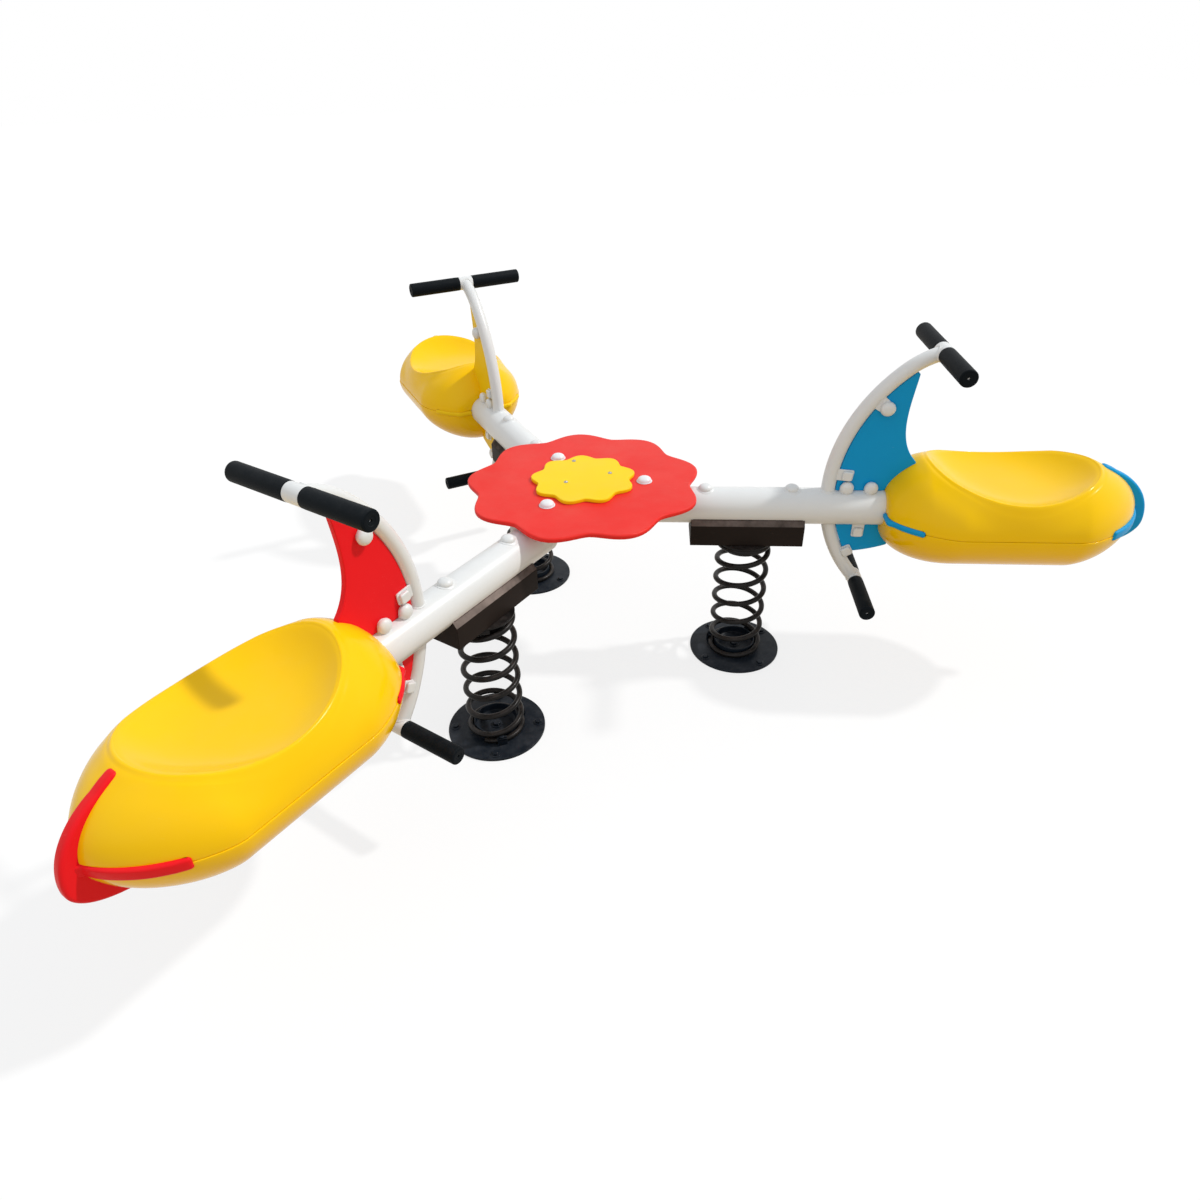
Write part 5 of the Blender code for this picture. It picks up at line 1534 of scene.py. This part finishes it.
def coil_path(settings, low_share, high_share, per_turn=64):
    """Part of the spring's wire, between two shares of its length."""
    total = settings.active_turns + 2 * settings.end_turns
    count = round(total * per_turn)
    radius = COIL_OUTER - WIRE_RADIUS
    ease = 0.035
    path = []
    for index in range(round(count * low_share), round(count * high_share) + 1):
        turn = total * index / count
        active = (turn - settings.end_turns) / settings.active_turns
        share = min(max(active, 0.0), 1.0)
        if -ease < active < ease:
            share = (active + ease) ** 2 / (4 * ease)
        if 1.0 - ease < active < 1.0 + ease:
            share = 1.0 - (1.0 + ease - active) ** 2 / (4 * ease)
        angle = 2 * math.pi * (turn + settings.start_turn)
        path.append((SADDLE_CENTRE + radius * math.cos(angle), radius * math.sin(angle),
                     COIL_BOTTOM + (COIL_TOP - COIL_BOTTOM) * share))
    return path


class SEESAW_OT_springs(Operator):
    """Build the coil springs, each in three runs that follow the frame as it rocks"""

    bl_idname = "seesaw.build_springs"
    bl_label = "Build Springs"

    def execute(self, context):
        settings = context.scene.seesaw_spring
        runs = (("low", "footings", "bounce_spring"), ("middle", "bounce_spring", "sway_springs"),
                ("high", "sway_springs", "rocking_frame"))
        for index, (label, below, above) in enumerate(runs):
            path = coil_path(settings, index / 3, (index + 1) / 3)
            mesh = make_mesh("wire", Shape().add(sweep(path, WIRE_RADIUS, 18)))
            for arm in ARMS:
                piece = show(f"spring_run_{label}_{arm}", mesh, [black_paint()],
                             place=arm_place(arm), body=None)
                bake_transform(piece)
                if label == "middle":
                    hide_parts("spring_" + arm)
        return {"FINISHED"}


class SEESAW_OT_bases(Operator):
    """Build the round base plates with their cups, clamps and ground bolts"""

    bl_idname = "seesaw.build_bases"
    bl_label = "Build Bases"

    def execute(self, context):
        base = Shape()
        centre = at(SADDLE_CENTRE, 0.0, 0.0)
        base.add(cup_form(GROUND_PLATE_RADIUS, GROUND_PLATE_THICKNESS, 0.001), centre)
        ring = [(x, y, WIRE_REST) for x, y in circle(CUP_WELD_RADIUS)]
        base.add(bead(ring, 0.0022, 0.0042), centre)
        base.add(hexagon(0.0125, 0.010), centre @ at(0.0, 0.0, 0.009))
        base.add(bar(0.018, 0.0, 0.0025, SMALL), centre @ at(0.0, 0.0, 0.0088))
        wire_top = WIRE_REST + 2 * WIRE_RADIUS
        for turns in CLAMP_TURNS:
            spin = centre @ turned(turns * 360.0)
            high = (0.0965, 0.015, wire_top + 0.0075)
            base.add(box((0.0895, -0.015, GROUND_PLATE_THICKNESS), high, 0.0012), spin)
            base.add(box((0.0800, -0.015, wire_top + 0.0004), high, 0.0012), spin)
            base.add(hexagon(0.0075, 0.0060), spin @ at(0.0895, 0.0, wire_top + 0.0075))
        washer = [(0.0, 0.0), (0.0150, 0.0), (0.0150, 0.0016), (0.0140, 0.0022), (0.0, 0.0022)]
        for number in range(4):
            turn = math.radians(GROUND_BOLT_TURN + 90.0 * number)
            spot = (GROUND_BOLT_RADIUS * math.cos(turn), GROUND_BOLT_RADIUS * math.sin(turn))
            base.add(lathe(washer, SMALL), centre @ at(*spot, GROUND_PLATE_THICKNESS))
            base.add(hexagon(0.0098, 0.0070), centre @ at(*spot, 0.0098))
        show_on_arms(("ground_plate_{}", make_mesh("base", base), [base_paint()],
                      "black_steel", "base_plate_{}"), body="footings")
        return {"FINISHED"}


# Camera, floor and light

CAMERA_SPOT = (-0.0822, -2.3123, 1.7807)
CAMERA_TURN = 7.05
CAMERA_YAW, CAMERA_PITCH, CAMERA_ROLL = 0.9, 33.94, -2.37
CAMERA_FOCUS = 811.24
CAMERA_MIDDLE = (573.19, 590.99)
PHOTO_SIZE = 1200
SENSOR = 36.0
FLOOR_REACH = 30.0
FLOOR_LEVEL = -0.0005
SUN_DISTANCE = 6.0

# Each lamp: name, azimuth, elevation and width in degrees, power and colour
SUNS = (("key", 14.5, 47.0, 3.0, 2.0, (1.0, 0.985, 0.955)),
        ("fill", -115.0, 35.0, 60.0, 0.25, (0.95, 0.97, 1.0)))
FLOOR_BOUNCE = (0.54, 0.42, 0.26, 1.0)
FLOOR_SEEN = (0.96, 0.96, 0.96, 1.0)
FLOOR_WHITE_SHARE = 0.75
ROOM_COLOUR = (0.93, 0.96, 1.0, 1.0)
ROOM_STRENGTH = 0.66


def camera_matrix():
    """The photograph's viewpoint, turned with the arms and moved with the hub."""
    yaw, pitch, roll = (math.radians(a) for a in (CAMERA_YAW, CAMERA_PITCH, CAMERA_ROLL))
    ahead = Vector((math.sin(yaw) * math.cos(pitch), math.cos(yaw) * math.cos(pitch),
                    -math.sin(pitch)))
    right = ahead.cross(Vector((0.0, 0.0, 1.0))).normalized()
    up = right.cross(ahead)
    leaned = right * math.cos(roll) + up * math.sin(roll)
    upright = -right * math.sin(roll) + up * math.cos(roll)
    basis = Matrix((leaned, upright, -ahead)).transposed().to_4x4()
    basis.translation = Vector(CAMERA_SPOT)
    return at(HUB_X, 0.0, 0.0) @ turned(CAMERA_TURN) @ basis


def add_sun(name, azimuth, elevation, width, power, colour):
    """A distant lamp, given by the direction that it stands in and its width in degrees."""
    lamp = bpy.data.lights.new(name, "SUN")
    lamp.angle = math.radians(width)
    lamp.energy = power
    lamp.color = colour
    holder = bpy.data.objects.new(name, lamp)
    turn, rise = math.radians(azimuth), math.radians(elevation)
    away = Vector((math.cos(turn) * math.cos(rise), math.sin(turn) * math.cos(rise),
                   math.sin(rise)))
    holder.location = away * SUN_DISTANCE
    holder.rotation_mode = "QUATERNION"
    holder.rotation_quaternion = away.to_track_quat("Z", "Y")
    bpy.context.scene.collection.objects.link(holder)


def pale_mix(tree, lit, strength=1.0, floor=False):
    """White towards the camera and in reflections, and the lit shader for all other light."""
    path = node(tree, "ShaderNodeLightPath").outputs
    seen = combined(tree, path["Is Camera Ray"], path["Is Glossy Ray"], "MAXIMUM")
    seen = combined(tree, seen, path["Is Transmission Ray"], "MAXIMUM")
    white = node(tree, "ShaderNodeEmission" if floor else "ShaderNodeBackground",
                 [("Color", (1.0, 1.0, 1.0, 1.0)), ("Strength", 1.0)])
    return node(tree, "ShaderNodeMixShader",
                [(0, combined(tree, seen, strength)), (1, lit), (2, white.outputs[0])])


def pale_floor():
    """A wide floor that is white to the camera, keeps shadows and throws warm light back."""
    mesh = bpy.data.meshes.new("pale_floor")
    corners = rectangle((-FLOOR_REACH, -FLOOR_REACH), (FLOOR_REACH, FLOOR_REACH))
    mesh.from_pydata([(x, y, FLOOR_LEVEL) for x, y in corners], [], [(0, 1, 2, 3)])
    floor = bpy.data.objects.new("pale_floor", mesh)
    bpy.context.scene.collection.objects.link(floor)
    material = bpy.data.materials.new("pale_floor")
    material.use_nodes = True
    tree = material.node_tree
    shader = tree.nodes["Principled BSDF"]
    seen = node(tree, "ShaderNodeLightPath").outputs["Is Camera Ray"]
    tree.links.new(blended(tree, seen, FLOOR_BOUNCE, FLOOR_SEEN), shader.inputs["Base Color"])
    shader.inputs["Roughness"].default_value = 0.9
    shader.inputs["Specular IOR Level"].default_value = 0.0
    mix = pale_mix(tree, shader.outputs[0], FLOOR_WHITE_SHARE, True)
    tree.links.new(mix.outputs[0], tree.nodes["Material Output"].inputs["Surface"])
    mesh.materials.append(material)


class SEESAW_OT_stage(Operator):
    """Build the camera, the pale floor and the soft light"""

    bl_idname = "seesaw.build_stage"
    bl_label = "Build Stage"

    def execute(self, context):
        scene = context.scene
        camera = bpy.data.cameras.new("photo_view")
        camera.sensor_width = SENSOR
        camera.lens = CAMERA_FOCUS / PHOTO_SIZE * SENSOR
        camera.shift_x = (PHOTO_SIZE / 2 - CAMERA_MIDDLE[0]) / PHOTO_SIZE
        camera.shift_y = (CAMERA_MIDDLE[1] - PHOTO_SIZE / 2) / PHOTO_SIZE
        holder = bpy.data.objects.new("photo_view", camera)
        holder.matrix_world = camera_matrix()
        scene.collection.objects.link(holder)
        scene.camera = holder
        pale_floor()

        world = bpy.data.worlds.new("soft_room")
        world.use_nodes = True
        scene.world = world
        tree = world.node_tree
        soft = tree.nodes["Background"]
        soft.inputs["Color"].default_value = ROOM_COLOUR
        soft.inputs["Strength"].default_value = ROOM_STRENGTH
        mix = pale_mix(tree, soft.outputs[0])
        tree.links.new(mix.outputs[0], tree.nodes["World Output"].inputs["Surface"])

        for sun in SUNS:
            add_sun(*sun)
        scene.view_settings.view_transform = "Standard"
        return {"FINISHED"}


OPERATORS = (SEESAW_OT_hub, SEESAW_OT_beams, SEESAW_OT_bows, SEESAW_OT_panels, SEESAW_OT_seats,
             SEESAW_OT_saddles, SEESAW_OT_springs, SEESAW_OT_bases, SEESAW_OT_stage)


class SEESAW_PT_panel(Panel):
    """Sizes, colours and build steps of the seesaw"""

    bl_idname = "SEESAW_PT_panel"
    bl_label = "Playground Seesaw"
    bl_space_type = "VIEW_3D"
    bl_region_type = "UI"
    bl_category = "Seesaw"

    def draw(self, context):
        for label, group in SETTINGS.items():
            column = self.layout.column(heading=group.__doc__)
            for name in group.__annotations__:
                column.prop(getattr(context.scene, label), name)
        for operator in OPERATORS:
            self.layout.operator(operator.bl_idname)


CLASSES = (*SETTINGS.values(), *OPERATORS, SEESAW_PT_panel)


def register():
    for item in CLASSES:
        bpy.utils.register_class(item)
    for name, group in SETTINGS.items():
        setattr(bpy.types.Scene, name, PointerProperty(type=group))


def unregister():
    for name in SETTINGS:
        delattr(bpy.types.Scene, name)
    for item in reversed(CLASSES):
        bpy.utils.unregister_class(item)


def main():
    register()
    for operator in OPERATORS:
        section, name = operator.bl_idname.split(".")
        getattr(getattr(bpy.ops, section), name)()


if __name__ == "__main__":
    main()
